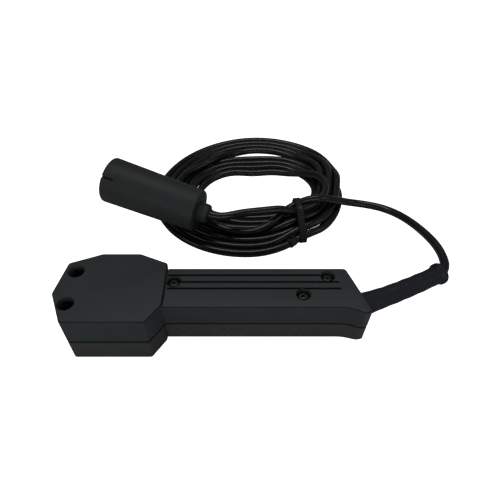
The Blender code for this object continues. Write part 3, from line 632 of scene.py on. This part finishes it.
def wound_line():
    """The whole lead as it is wound, before it settles, in millimetres."""
    way_in = FREE_ROUTE + CROSSING + (tie_place(1, 1), tie_place(1, -1))
    points = [tuple(p / MM) for p in smooth_route(way_in, SPACING * MM)]
    for turn in range(1, TURNS + 1):
        points += turn_points(turn)[1:]
        if turn < TURNS:
            points.append(tie_place(turn + 1, -1))
    mouth, along, length = plug_axis()
    end = mouth + along * (length + NECK_LENGTH + GAP)
    last = TURNS + 1
    way_out = (tie_place(last, 1), tie_place(last, -1)) + TAIL_ROUTE
    way_out += (tuple((end + along * 0.2 * MM) / MM), tuple((end - along * 3 * MM) / MM))
    points += [tuple(p / MM) for p in smooth_route(way_out, SPACING * MM)][1:]
    return evenly(points, SPACING)


def blurred(values, width):
    """Each column of values smoothed along the cord."""
    reach = int(3 * width)
    weights = np.exp(-0.5 * (np.arange(-reach, reach + 1) / width) ** 2)
    weights /= weights.sum()
    ends = [np.repeat(values[:1], reach, 0), values, np.repeat(values[-1:], reach, 0)]
    padded = np.concatenate(ends)
    return np.stack([np.convolve(padded[:, k], weights, "valid") for k in range(3)], axis=1)


def close_pairs(line):
    """Pairs of points that could touch, leaving out neighbours on the same stretch."""
    square = (line**2).sum(1)
    apart = square[:, None] + square[None] - 2 * line @ line.T
    first, second = np.where(apart < (TOUCH + 5) ** 2)
    keep = second - first > 6
    return first[keep], second[keep]


def pushed_apart(line, pairs):
    """How far each point moves so that touching strands no longer sink into each other."""
    first, second = pairs
    between = line[second] - line[first]
    far = np.linalg.norm(between, axis=1) + 1e-6
    over = np.maximum(0, TOUCH - far)
    push = between * (over / far / 2)[:, None]
    count = len(line)
    moves = [np.bincount(second, p, count) - np.bincount(first, p, count) for p in push.T]
    hits = np.bincount(second, over > 0, count) + np.bincount(first, over > 0, count)
    return np.stack(moves, axis=1) / np.maximum(1, hits * 0.4)[:, None]


def pushed_off_plug(line):
    mouth, along, length = plug_axis()
    mouth, along, length = np.array(mouth) / MM, np.array(along), length / MM
    t = np.clip((line - mouth) @ along, 0, length)
    away = line - (mouth + t[:, None] * along)
    far = np.linalg.norm(away, axis=1) + 1e-6
    radius = (PLUG_MOUTH_R + (PLUG_REAR_R - PLUG_MOUTH_R) * t / length + CORD_R) / MM + 0.3
    inside = (far < radius) & (t < length - 1) & (t > 0.1)
    return away * (np.where(inside, radius - far, 0) / far)[:, None]


def how_free(count):
    """0 where the cord keeps its line, at both of its ends, and 1 along the coil."""
    start = len(smooth_route(FREE_ROUTE, SPACING * MM)) - 3
    here = np.arange(count)
    return np.minimum(np.clip((here - start) / 24, 0, 1), np.clip((count - 36 - here) / 14, 0, 1))


def ease_bends(line, free):
    """Takes out the tightest bends and leaves the wide ones."""
    for share in (0.5, -0.51):
        bend = np.zeros_like(line)
        bend[1:-1] = (line[:-2] + line[2:]) / 2 - line[1:-1]
        line += bend * share * free


def keep_length(line, rest, free):
    """Brings the step between neighbouring points back to what it was at first."""
    for _ in range(3):
        step = np.diff(line, axis=0)
        size = np.linalg.norm(step, axis=1)[:, None] + 1e-6
        fix = step * ((size - rest) / size) * 0.45
        line[:-1] += fix * free[:-1]
        line[1:] -= fix * free[1:]


def settle(aim):
    """Lets the wound cord sink onto itself and the ground, as stiff cord does."""
    free = how_free(len(aim))[:, None]
    line = aim.copy()
    rest = np.linalg.norm(np.diff(aim, axis=0), axis=1)[:, None]
    from_tie = np.linalg.norm(aim[:, :2] - TIE_MIDDLE, axis=1)
    ground = CORD_R / MM + 0.05 + TIE_LIFT * np.exp(-((from_tie / TIE_LIFT_REACH) ** 4))
    for i in range(ROUNDS):
        calm = i / ROUNDS
        if i % 8 == 0:
            pairs = close_pairs(line)
        move = (aim - line) * (HOLD, HOLD, 0)
        move[:, 2] -= SINK * (1 - 0.7 * calm)
        line += move * free
        for _ in range(2):
            line += blurred(pushed_apart(line, pairs), 3.9 - 3 * calm) * 1.6 * free
            line += blurred(pushed_off_plug(line), 1) * 1.5 * free
            line[:, 2] = np.maximum(line[:, 2], ground)
        shift = blurred(line - aim, 2.2 if calm < 0.8 else 1.2)
        line += (aim + shift - line) * free
        ease_bends(line, free)
        keep_length(line, rest, free)
    ends = line[[0, -1]]
    line = blurred(line, 1.5)
    line[[0, -1]] = ends
    return line


def cord_points():
    settled = [tuple(p) for p in settle(wound_line())]
    return smooth_route(settled, SPACING / 2 * MM)


def tube_curve(name, points, radius, material):
    curve = bpy.data.curves.new(name, "CURVE")
    curve.dimensions = "3D"
    curve.bevel_depth = radius
    curve.bevel_resolution = 6
    curve.use_fill_caps = True
    spline = curve.splines.new("POLY")
    spline.use_smooth = True
    spline.points.add(len(points) - 1)
    for knot, p in zip(spline.points, points):
        knot.co = (*p, 1)
    curve.materials.append(material)
    obj = bpy.data.objects.new(name, curve)
    bpy.context.scene.collection.objects.link(obj)
    return obj


def lay_cord(look):
    line = cord_points()
    lead = tube_curve("lead", line, CORD_R, look)
    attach(lead, "housing")
    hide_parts("cord_free_run", "cord_coil", "cord_tail")
    return lead, line


# ---------------- the housing's shape


def inset(points, distance):
    """An anticlockwise outline moved inwards by distance."""
    moved = []
    count = len(points)
    for i, here in enumerate(points):
        before, after = points[i - 1], points[(i + 1) % count]
        a, b = (here - before).normalized(), (after - here).normalized()
        na, nb = Vector((-a.y, a.x)), Vector((-b.y, b.x))
        moved.append(here + (na + nb) * (distance / (1 + na.dot(nb))))
    return moved


def rounded(points, radii, steps=6):
    """The outline with each corner replaced by a short arc."""
    out = []
    count = len(points)
    for i, here in enumerate(points):
        before, after, radius = points[i - 1], points[(i + 1) % count], radii[i]
        a, b = (before - here).normalized(), (after - here).normalized()
        reach = min(radius, (before - here).length * 0.45, (after - here).length * 0.45)
        start, end = here + a * reach, here + b * reach
        for k in range(steps + 1):
            t = k / steps
            out.append(start * (1 - t) ** 2 + here * (2 * t * (1 - t)) + end * t * t)
    return out


def grip_half(z):
    return GRIP_HALF_FRONT + (GRIP_HALF_TOP - GRIP_HALF_FRONT) * z / GRIP_TOP


def head_corners(z):
    return inset([Vector(p) * MM for p in HEAD_OUTLINE], HEAD_DRAFT * (1 - z / HEAD_TOP))


def end_corners(z):
    """The grip's near side from where it starts to flare, and round to its far corner."""
    half = grip_half(z)
    flare = FLARE_OUT * (0.55 + 0.45 * z / GRIP_TOP)
    return [
        Vector((FLARE_START, -half)),
        Vector((FLARE_PEAK, -half - flare)),
        Vector((GRIP_END_NEAR, -half - flare * 0.55)),
        Vector((GRIP_END_FAR, half)),
    ]


END_RADII = [6 * MM, CORNER, CORNER * 0.6, CORNER]


def lifted(points, z):
    return [p.to_3d() + Vector((0, 0, z)) for p in points]


def outline(z, shrink=0.0):
    """The whole housing's outline at a height, as the inside and the seam follow it."""
    half = grip_half(z)
    head = head_corners(z)
    points = [Vector((GRIP_START, half)), *head]
    points[-1] = Vector((head[-1].x, -half + 0.2 * MM))
    points += end_corners(z)
    radii = [0.4 * MM] + [CORNER * 0.6] * 7 + [0.4 * MM] + END_RADII
    return lifted(rounded(inset(points, shrink), radii, 3), z)


def head_outline(z, shrink):
    return lifted(rounded(inset(head_corners(z), shrink), [CORNER * 0.6] * 8), z)


def grip_outline(z, shrink):
    half = grip_half(z)
    points = [Vector((-0.05, half)), Vector((-0.05, -half)), *end_corners(z)]
    radii = [CORNER, CORNER] + END_RADII
    return lifted(rounded(inset(points, shrink), radii), z)


def edge_levels(z, radius, up, steps=5):
    """Heights and insets that round an edge over: up is +1 on a top edge and -1 below."""
    levels = []
    for i in range(steps + 1):
        a = math.pi / 2 * i / steps
        levels.append((z - up * radius * (1 - math.sin(a)), radius * (1 - math.cos(a))))
    return levels if up > 0 else levels[::-1]


def solid_of(shape, levels):
    return loft([shape(z, shrink) for z, shrink in levels])


def hollow_mesh(low, high, cutters):
    """The inside of a shell as a cutter, less what is left standing in it."""
    helper = new_object("inside", loft([outline(z, WALL) for z in (low, high)]))
    apply_cuts(helper, [(mesh, "DIFFERENCE") for mesh in cutters])
    mesh = helper.data.copy()
    bpy.data.objects.remove(helper)
    return mesh


def screw_places():
    """Where the screws are, and whether each is in the head."""
    places = [(x * MM, y * MM, True) for x, y in HEAD_SCREWS]
    return places + [(x * MM, y * MM, False) for x, y in GRIP_SCREWS]


def recess_of(on_head):
    radius, depth = HEAD_RECESS if on_head else GRIP_RECESS
    return radius, (HEAD_TOP if on_head else GRIP_TOP) - depth


def turned_all(places, direction, sides):
    """Several turned bodies as one mesh; places holds (start, profile)."""
    bm = bmesh.new()
    for start, profile in places:
        add_loft(bm, turned_rings(start, direction, profile, sides))
    return mesh_of(bm)


def posts_mesh(low, high):
    made = []
    for x, y, on_head in screw_places():
        radius, floor = recess_of(on_head)
        wide = radius + POST_WALL
        slim = wide if on_head else POST_R
        profile = [(0, slim), (high - low, slim)]
        if high > floor and not on_head:
            step = floor - 1.6 * MM - low
            profile = [(0, slim), (step - 1 * MM, slim), (step, wide), (high - low, wide)]
        made.append(((x, y, low), profile))
    return turned_all(made, (0, 0, 1), 32)


def recesses_mesh():
    """The screw recesses, with a lip that is broken by a small curve."""
    made = []
    start = SEAM - 4 * MM
    for x, y, on_head in screw_places():
        radius, floor = recess_of(on_head)
        top = (HEAD_TOP if on_head else GRIP_TOP) - start
        lip = [(top - 0.5 * MM, radius), (top - 0.2 * MM, radius + 0.12 * MM)]
        lip += [(top, radius + 0.4 * MM), (top + 2 * MM, radius + 0.4 * MM)]
        profile = [
            (0, SCREW_HOLE_R),
            (floor - start, SCREW_HOLE_R),
            (floor - start + 0.1 * MM, radius - 0.3 * MM),
            (floor - start + 0.4 * MM, radius),
        ]
        made.append(((x, y, start), profile + lip))
    return turned_all(made, (0, 0, 1), 64)


def round_box(centre, half, corner, levels, steps=8):
    """An upright block with rounded corners; levels holds (height, how much wider it is)."""
    rings = []
    for z, grow in levels:
        hx, hy = half[0] + grow, half[1] + grow
        corners = [Vector(c) for c in ((hx, hy), (-hx, hy), (-hx, -hy), (hx, -hy))]
        moved = [c + Vector(centre[:2]) for c in corners]
        rings.append(lifted(rounded(moved, [corner + grow] * 4, steps), z))
    return rings


def grooves_mesh():
    """The long grooves in the back of the grip, round at their ends and eased at the lip."""
    bm = bmesh.new()
    low = GRIP_TOP - GROOVE_DEPTH
    levels = ((low, -0.3 * MM), (low + 0.25 * MM, -0.05 * MM), (GRIP_TOP - 0.3 * MM, 0))
    levels += ((GRIP_TOP, 0.22 * MM), (GRIP_TOP + 2 * MM, 0.22 * MM))
    for y, first, last in GROOVES:
        centre = ((first + last) / 2 * MM, y * MM)
        half = ((last - first) / 2 * MM, GROOVE_WIDTH / 2)
        add_loft(bm, round_box(centre, half, GROOVE_WIDTH * 0.45, levels, 4))
    return mesh_of(bm)


def step_groove_mesh():
    """The thin line that is sunk into the grip along the foot of the head's step."""
    x = GRIP_START + 0.15 * MM
    half = (0.45 * MM, GRIP_HALF_TOP + 2 * MM)
    levels = ((GRIP_TOP - 0.9 * MM, 0), (GRIP_TOP + 3 * MM, 0))
    return loft(round_box((x + half[0], 0), half, 0.1 * MM, levels, 2))


def lead_hole_mesh():
    inner, outer = Vector(BOOT_ROUTE[0]) * MM, Vector(BOOT_ROUTE[2]) * MM
    along = (outer - inner).normalized()
    start = inner - along * 1 * MM
    return loft(turned_rings(start, along, [(0, BOOT_HOLE_R), (20 * MM, BOOT_HOLE_R)], 48))


def back_shell(look):
    low = SEAM + SEAM_GAP / 2
    seam = [(low, 0.3 * MM), (low + 0.3 * MM, 0)]
    head = solid_of(head_outline, seam + edge_levels(HEAD_TOP, 0.9 * MM, 1))
    grip = solid_of(grip_outline, seam + edge_levels(GRIP_TOP, 0.9 * MM, 1))
    shell = new_object("shell_back", grip)
    inside = hollow_mesh(SEAM - 2 * MM, GRIP_TOP - WALL, [posts_mesh(SEAM - 3 * MM, HEAD_TOP)])
    apply_cuts(
        shell,
        [
            (step_groove_mesh(), "DIFFERENCE"),
            (head, "UNION"),
            (grooves_mesh(), "DIFFERENCE"),
            (inside, "DIFFERENCE"),
            (recesses_mesh(), "DIFFERENCE"),
            (lead_hole_mesh(), "DIFFERENCE"),
        ],
    )
    dress(shell, look, "back_shell")


def well_mesh(grow, low, high, lip=0.0):
    half = (WELL[0] / 2 + grow, WELL[1] / 2 + grow)
    levels = [(low, lip), (0.0, lip), (0.5 * MM, lip * 0.25), (1.2 * MM, 0), (high, 0)]
    if not lip:
        levels = [(low, 0), (high, 0)]
    return loft(round_box((SWITCH_X, 0), half, 0.6 * MM if grow else 2.0 * MM, levels))


def upright_pins(places, start, length, radius, sides=32):
    profile = [(0, radius), (length, radius)]
    return turned_all([((x, y, start), profile) for x, y in places], (0, 0, 1), sides)


def front_shell(look):
    top = SEAM - SEAM_GAP / 2
    seam = [(top - 0.3 * MM, 0), (top, 0.3 * MM)]
    head = solid_of(head_outline, edge_levels(0, 0.8 * MM, -1) + seam)
    grip = solid_of(grip_outline, edge_levels(0, 0.8 * MM, -1) + seam)
    shell = new_object("shell_front", grip)
    clamp = [(CLAMP_X, -CLAMP_Y), (CLAMP_X, CLAMP_Y)]
    standing = [
        posts_mesh(WALL / 2, SEAM + 3 * MM),
        well_mesh(2 * MM, -1 * MM, WELL[2] + 2 * MM),
        upright_pins(clamp, WALL / 2, 20 * MM, 2.2 * MM),
    ]
    slot = (SWITCH_SIZE[0] / 2 + GAP, SWITCH_SIZE[1] / 2 + GAP)
    slot_levels = [(0, 0), (SEAM, 0)]
    places = [(x, y) for x, y, _ in screw_places()]
    inside = hollow_mesh(WALL, SEAM + 2 * MM, standing)
    cutters = [
        inside,
        well_mesh(0, -1 * MM, WELL[2], 0.5 * MM),
        loft(round_box((SWITCH_X, 0), slot, 0.2 * MM, slot_levels, 2)),
        upright_pins(places, 4.7 * MM, 20 * MM, 2.7 * MM),
        upright_pins(clamp, 5 * MM, 20 * MM, 1.3 * MM),
        lead_hole_mesh(),
    ]
    apply_cuts(shell, [(head, "UNION")] + [(mesh, "DIFFERENCE") for mesh in cutters])
    dress(shell, look, "front_shell")


# ---------------- screws and switch


def cross_arm(place, turn):
    """Two opposite arms of a screw's recess, narrower and shorter as they go down."""
    spin = Matrix.Rotation(turn, 3, "Z")
    rings = []
    for rise, reach, half in ((-1.3, 0.6, 0.18), (0.1, 1.75, 0.42)):
        corners = ((reach, half), (-reach, half), (-reach, -half), (reach, -half))
        rings.append([spin @ (Vector((*c, rise)) * MM) + Vector(place) for c in corners])
    return loft(rings)


def housing_screw(number, x, y, on_head, look):
    """A pan-head screw with a domed rim and a tapered cross recess."""
    seat = recess_of(on_head)[1] + 0.4 * MM - SCREW_TIP
    profile = [(0, 0.6 * MM), (0.9 * MM, 1.25 * MM)]
    for i in range(int((seat - 1.4 * MM) / THREAD_PITCH)):
        at = 1.2 * MM + i * THREAD_PITCH
        profile += [(at, SHANK_R - THREAD_DEPTH), (at + THREAD_PITCH / 2, SHANK_R)]
    profile += [(seat, SHANK_R), (seat + 0.02 * MM, SCREW_HEAD_R - 0.05 * MM)]
    profile.append((seat + 0.2 * MM, SCREW_HEAD_R))
    for i in range(7):
        a = math.pi / 2 * i / 6
        rise = SCREW_HEAD_H - SCREW_DOME * (1 - math.sin(a))
        profile.append((seat + rise, SCREW_HEAD_R - SCREW_DOME * (1 - math.cos(a))))
    name = f"housing_screw_{number}"
    screw = new_object("pan_" + name, loft(turned_rings((x, y, SCREW_TIP), (0, 0, 1), profile, 40)))
    top = (x, y, SCREW_TIP + seat + SCREW_HEAD_H)
    turns = (SCREW_TURN + number, SCREW_TURN + number + math.pi / 2)
    apply_cuts(screw, [(cross_arm(top, turn), "DIFFERENCE") for turn in turns])
    dress(screw, look, name)


def switch_rocker(look):
    """The paddle: dished along its length, ribbed at both ends, round at every edge."""
    half, width = ROCKER_SIZE[0] / 2, ROCKER_SIZE[1] / 2
    side = []
    for i in range(73):
        t = i / 36 - 1
        rib = ROCKER_RIB * max(0, math.sin(t * ROCKER_RIB_RATE)) * (0.3 < abs(t) < 0.86)
        side.append((t * half, ROCKER_TIP_Z + ROCKER_DISH * math.cos(t * math.pi / 2) - rib))
    for i in range(19):
        a = math.pi * i / 18
        side.append((math.cos(a) * (half - 0.9 * MM), 9 * MM + math.sin(a) * 3 * MM))
    centre = Vector((0, 8.2 * MM))
    rings = []
    for y, shrink in ((-1, 0.4), (-0.985, 0.15), (-0.96, 0), (0.96, 0), (0.985, 0.15), (1, 0.4)):
        ring = []
        for x, z in side:
            away = (Vector((x, z)) - centre).normalized() * shrink * MM
            ring.append(Vector((SWITCH_X + x - away.x, y * width, z - away.y)))
        rings.append(ring)
    paddle = new_object("paddle", loft(rings))
    bore = [(0, PIVOT_HOLE_R), (20 * MM, PIVOT_HOLE_R)]
    bore = turned_rings((SWITCH_X, -10 * MM, PIVOT_Z), (0, 1, 0), bore, 32)
    guide = [(0, PLUNGER_HOLE_R), (9 * MM, PLUNGER_HOLE_R)]
    guide = turned_rings((SWITCH_X, 0, PIVOT_Z + 1.9 * MM), (0, 0, 1), guide, 32)
    apply_cuts(paddle, [(loft(bore), "DIFFERENCE"), (loft(guide), "DIFFERENCE")])
    dress(paddle, look, "switch_rocker", body="rocker", smooth=35)


def switch_bezel(look):
    low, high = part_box("switch_bezel")
    centre = (low + high) / 2
    half = ((high.x - low.x) / 2, (high.y - low.y) / 2)
    levels = [(low.z, -0.35 * MM), (low.z + 0.35 * MM, 0), (high.z, 0)]
    frame_ring = new_object("frame_ring", loft(round_box(centre, half, 1.4 * MM, levels)))
    window = (SWITCH_SIZE[0] / 2 + 0.6 * MM, SWITCH_SIZE[1] / 2 + 0.6 * MM)
    levels = [(low.z - 1 * MM, 0.3 * MM), (low.z, 0.3 * MM), (low.z + 0.3 * MM, 0), (high.z + 1 * MM, 0)]
    apply_cuts(frame_ring, [(loft(round_box(centre, window, 0.5 * MM, levels)), "DIFFERENCE")])
    dress(frame_ring, look, "switch_bezel")


# ---------------- strain relief, tie and plug


def swept(points, radii, inner, sides):
    """A round sleeve along a path, with its own outer radius at each point."""
    frames = []
    for i, here in enumerate(points):
        before, after = points[max(i - 1, 0)], points[min(i + 1, len(points) - 1)]
        along = (after - before).normalized()
        side = along.cross(Vector((0, 0, 1))).normalized()
        frames.append((here, side, side.cross(along)))

    def ring(frame_of, radius):
        here, side, up = frame_of
        angles = [math.tau * k / sides for k in range(sides)]
        return [here + (side * math.cos(a) + up * math.sin(a)) * radius for a in angles]

    rings = [ring(f, r) for f, r in zip(frames, radii)]
    rings += [ring(f, inner) for f in reversed(frames)]
    return loft(rings, closed=True)


def boot_radius(travelled, total):
    """The sleeve's radius in millimetres, this far along it."""
    left = total - travelled
    radius = BOOT_R - BOOT_TAPER * travelled / total
    start, rise, height, fade = BOOT_SWELL
    swell = min(1.0, max(0.0, (travelled - start) / rise))
    radius += height * swell * swell * max(0.0, 1 - (travelled - start - rise) / fade) ** 1.5
    height, frequency, start, rise = BOOT_WAVES
    radius += height * math.sin(travelled * frequency) * min(1, max(0, (travelled - start) / rise))
    if travelled < BOOT_FLANGE[0]:
        radius = BOOT_FLANGE[1]
    length, rise, widest = BOOT_BEAD
    if left < length:
        bead = min(1.0, (length - left) / rise)
        radius += (widest - radius) * bead * bead * (3 - 2 * bead)
    if left < BOOT_EDGE:
        radius -= BOOT_EDGE - math.sqrt(max(0, BOOT_EDGE**2 - (BOOT_EDGE - left) ** 2))
    return radius


def strain_relief(look):
    """A soft tapered sleeve: a flange inside the wall, faint waves, and a rounded bead."""
    points = smooth_route(BOOT_ROUTE, BOOT_STEP)
    total = sum((b - a).length for a, b in zip(points, points[1:])) / MM
    travelled, radii = 0.0, []
    for i, here in enumerate(points):
        travelled += (here - points[i - 1]).length / MM if i else 0
        radii.append(boot_radius(travelled, total) * MM)
    mesh = swept(points, radii, CORD_R + 0.25 * MM, 56)
    return dress(new_object("tapered_sleeve", mesh), look, "strain_relief_boot")


def flat(degrees):
    turn = math.radians(degrees)
    return Vector((math.cos(turn), math.sin(turn), 0))


def tie_crossings():
    """Where the strands pass through the strap: (out from the tie's middle, height)."""
    across, along = flat(TIE_TURN), flat(TIE_TURN + 90)
    middle = Vector((*TIE_MIDDLE, 0)) * MM
    found = []
    for offset in (-TIE_WIDTH / 2, 0, TIE_WIDTH / 2):
        for a, b in zip(LINE, LINE[1:]):
            a, b = Vector(a) - middle, Vector(b) - middle
            da, db = a.dot(along) - offset, b.dot(along) - offset
            if da * db < 0 and abs(a.dot(across)) < 28 * MM:
                here = a.lerp(b, da / (da - db))
                found.append((here.dot(across), here.z))
    return found


def hull(points):
    """The convex hull of flat points, anticlockwise."""
    points = sorted(set(points))
    halves = []
    for run in (points, points[::-1]):
        half = []
        for p in run:
            while len(half) > 1:
                a, b = half[-2], half[-1]
                if (b[0] - a[0]) * (p[1] - a[1]) - (b[1] - a[1]) * (p[0] - a[0]) > 0:
                    break
                half.pop()
            half.append(p)
        halves.append(half[:-1])
    return halves[0] + halves[1]


def tie_strap(look):
    """The strap drawn tight round the strands, with its ribs and rounded edges."""
    across, along = flat(TIE_TURN), flat(TIE_TURN + 90)
    middle = Vector((*TIE_MIDDLE, 0)) * MM
    crossings = tie_crossings()

    def loop(grow):
        around = []
        for out, height in crossings:
            for k in range(24):
                a = math.tau * k / 24
                r = CORD_R + grow
                around.append((out + r * math.cos(a), max(0.15 * MM, height + r * math.sin(a))))
        around = hull(around)
        return evenly(around + around[:1], count=STRAP_STEPS)

    inner, outer = loop(STRAP_INSIDE), loop(STRAP_OUTSIDE)
    half = TIE_WIDTH / 2
    section = [(0, -half), (0.7, -half), (1, -half * 0.86), (0.86, -half * 0.55)]
    section += [(0.86, half * 0.55), (1, half * 0.86), (0.7, half), (0, half)]
    rings = []
    for i, (a, b) in enumerate(zip(inner, outer)):
        rib = STRAP_RIB if i % 4 < 2 else 0.0
        ring = []
        for share, side in section:
            share -= rib if share == 0.86 else 0
            x, z = a[0] + (b[0] - a[0]) * share, a[1] + (b[1] - a[1]) * share
            ring.append(middle + across * x + along * side + Vector((0, 0, z)))
        rings.append(ring)
    strap = new_object("nylon_strap", loft(rings, closed=True))
    return dress(strap, look, "cable_tie_strap", smooth=30)


def tie_lock(look):
    """The tie's lock with its slot, and the cut end of the strap on the other side of it."""
    low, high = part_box("cable_tie_head")
    turn = Matrix.Rotation(math.radians(TIE_HEAD_TURN), 4, "Z")
    place = Matrix.Translation((low + high) / 2) @ turn
    tall, edge = LOCK_HALF[2], LOCK_EDGE
    levels = [(-tall, -edge), (edge - tall, 0), (tall - edge, 0), (tall, -edge)]
    block = loft(round_box((-LOCK_ASIDE, 0), LOCK_HALF, 0.9 * MM, levels, 5))
    slot_levels = [(0.8 * MM, 0), (9 * MM, 0)]
    slot = loft(round_box((-LOCK_ASIDE, 0), (0.9 * MM, 2.1 * MM), 0.2 * MM, slot_levels, 2))
    end_levels = [(-1.9 * MM, 0), (-0.7 * MM, 0)]
    end = loft(round_box((2.6 * MM, 0), (3.6 * MM, 2.3 * MM), 0.3 * MM, end_levels, 3))
    for mesh in (block, slot, end):
        mesh.transform(place)
    lock = new_object("tie_lock", block)
    apply_cuts(lock, [(slot, "DIFFERENCE"), (end, "UNION")])
    return dress(lock, look, "cable_tie_head", smooth=30)


def keyway_mesh():
    mouth, along, _ = plug_axis()
    side = along.cross(Vector((0, 0, 1))).normalized()
    up = side.cross(along)
    tilt = math.radians(KEYWAY_ANGLE)
    out = side * math.cos(tilt) + up * math.sin(tilt)
    turn = Matrix((along, out.cross(along), out)).transposed().to_4x4()
    levels = [(-KEYWAY[2], -0.1 * MM), (-0.25 * MM, 0), (3 * MM, 0.25 * MM)]
    block = loft(round_box((0, 0), (KEYWAY[0], KEYWAY[1] / 2), 0.9 * MM, levels, 6))
    block.transform(Matrix.Translation(mouth + out * PLUG_MOUTH_R) @ turn)
    return block


def plug_body(look):
    """The moulded plug: rounded at both ends, with a faint ring sunk near its mouth."""
    mouth, along, length = plug_axis()

    def taper(at):
        return PLUG_MOUTH_R + (PLUG_REAR_R - PLUG_MOUTH_R) * at / length

    outer = [(0, taper(0) - 0.9 * MM), (0.12 * MM, taper(0) - 0.5 * MM)]
    outer.append((0.4 * MM, taper(0) - 0.15 * MM))
    for at, sunk in ((1.0, 0), (9.9, 0), (10.0, 0.12), (10.3, 0.12), (10.4, 0), (30.0, 0), (50.0, 0)):
        outer.append((at * MM, taper(at * MM) - sunk * MM))
    for i in range(7):
        a = math.pi / 2 * i / 6
        at = length - PLUG_END * (1 - math.sin(a))
        outer.append((at, taper(length) - PLUG_END * (1 - math.cos(a))))
    body = new_object("moulded_plug", loft(turned_rings(mouth, along, outer, 96)))
    bore = [(0, PLUG_BORE_R + 1.2 * MM), (1 * MM, PLUG_BORE_R + 0.8 * MM), (1.8 * MM, PLUG_BORE_R)]
    bore.append((PLUG_BORE_DEPTH + 1 * MM, PLUG_BORE_R))
    cutter = loft(turned_rings(mouth - along * MM, along, bore, 72))
    apply_cuts(body, [(cutter, "DIFFERENCE"), (keyway_mesh(), "DIFFERENCE")])
    return dress(body, look, "plug_body")


def plug_neck(look):
    mouth, along, length = plug_axis()
    start = mouth + along * (length + GAP)
    profile = [(0, 7.0), (1.5, 7.0), (1.9, 6.6), (2.6, 6.6), (3.0, 7.0), (5.6, 6.9), (6.4, 6.6)]
    profile = [(at * MM, r * MM) for at, r in profile + [(6.9, 6.0), (7.0, 3.4)]]
    neck = new_object("ringed_neck", loft(turned_rings(start, along, profile, 64)))
    return dress(neck, look, "plug_neck")


# ---------------- everything


def dress(obj, look, node, body="housing", smooth=40):
    """Gives a detailed piece its look and lets it stand for its CAD node."""
    mesh = obj.data
    mesh.materials.clear()
    mesh.materials.append(look)
    mesh.shade_smooth()
    mesh.set_sharp_from_angle(angle=math.radians(smooth))
    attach(obj, body)
    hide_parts(node)
    return obj


def paint_nodes(looks):
    """The CAD nodes that stay as they are: each takes the look of its kind."""
    kinds = {
        "brass": ("threaded_insert", "contact_blade", "switch_terminal", "plug_contact"),
        "steel": ("pivot_pin", "clamp_screw"),
        "nylon": ("contact_plunger",),
        "gasket": ("seam_gasket",),
        "switch": ("switch_body", "cord_clamp"),
        "spade": ("spade_connector",),
        "jacket": ("inner_lead",),
        "carrier": ("plug_insert",),
        "red": ("wire_a",),
        "white": ("wire_b",),
        "black": ("wire_c",),
    }
    for kind, starts in kinds.items():
        for name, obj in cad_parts.items():
            if name.startswith(starts):
                obj.data.materials.clear()
                obj.data.materials.append(looks[kind])



def make_looks():
    looks = {}
    for key, name, dark, light, rough, grain in MOULDED:
        # the two shells get the painted dark reflection on their top edges
        edge = EDGE_PAINTED_REFLECTION if key in ("back", "front") else None
        looks[key] = moulded(name, dark, light, rough, grain, edge=edge)
    looks["steel"] = metal("zinc_steel", (0.42, 0.41, 0.39), 0.34)
    looks["dark_steel"] = metal("blackened_steel", (0.032, 0.031, 0.03), 0.4)
    looks["brass"] = metal("brass", (0.75, 0.55, 0.24), 0.3)
    looks["jacket"] = jacket("lead_jacket", (0.005, 0.0056, 0.006), 0.22)
    return looks


make_camera()
make_stage()
LOOKS = make_looks()
LEAD, LINE = lay_cord(LOOKS["jacket"])
paint_nodes(LOOKS)
back_shell(LOOKS["back"])
front_shell(LOOKS["front"])
for number, (x, y, on_head) in enumerate(screw_places(), 1):
    housing_screw(number, x, y, on_head, LOOKS["dark_steel"])
switch_rocker(LOOKS["rocker"])
switch_bezel(LOOKS["switch"])
BOOT = strain_relief(LOOKS["boot"])
TIE = (tie_strap(LOOKS["tie"]), tie_lock(LOOKS["tie"]))
PLUG = (plug_body(LOOKS["plug"]), plug_neck(LOOKS["plug"]))
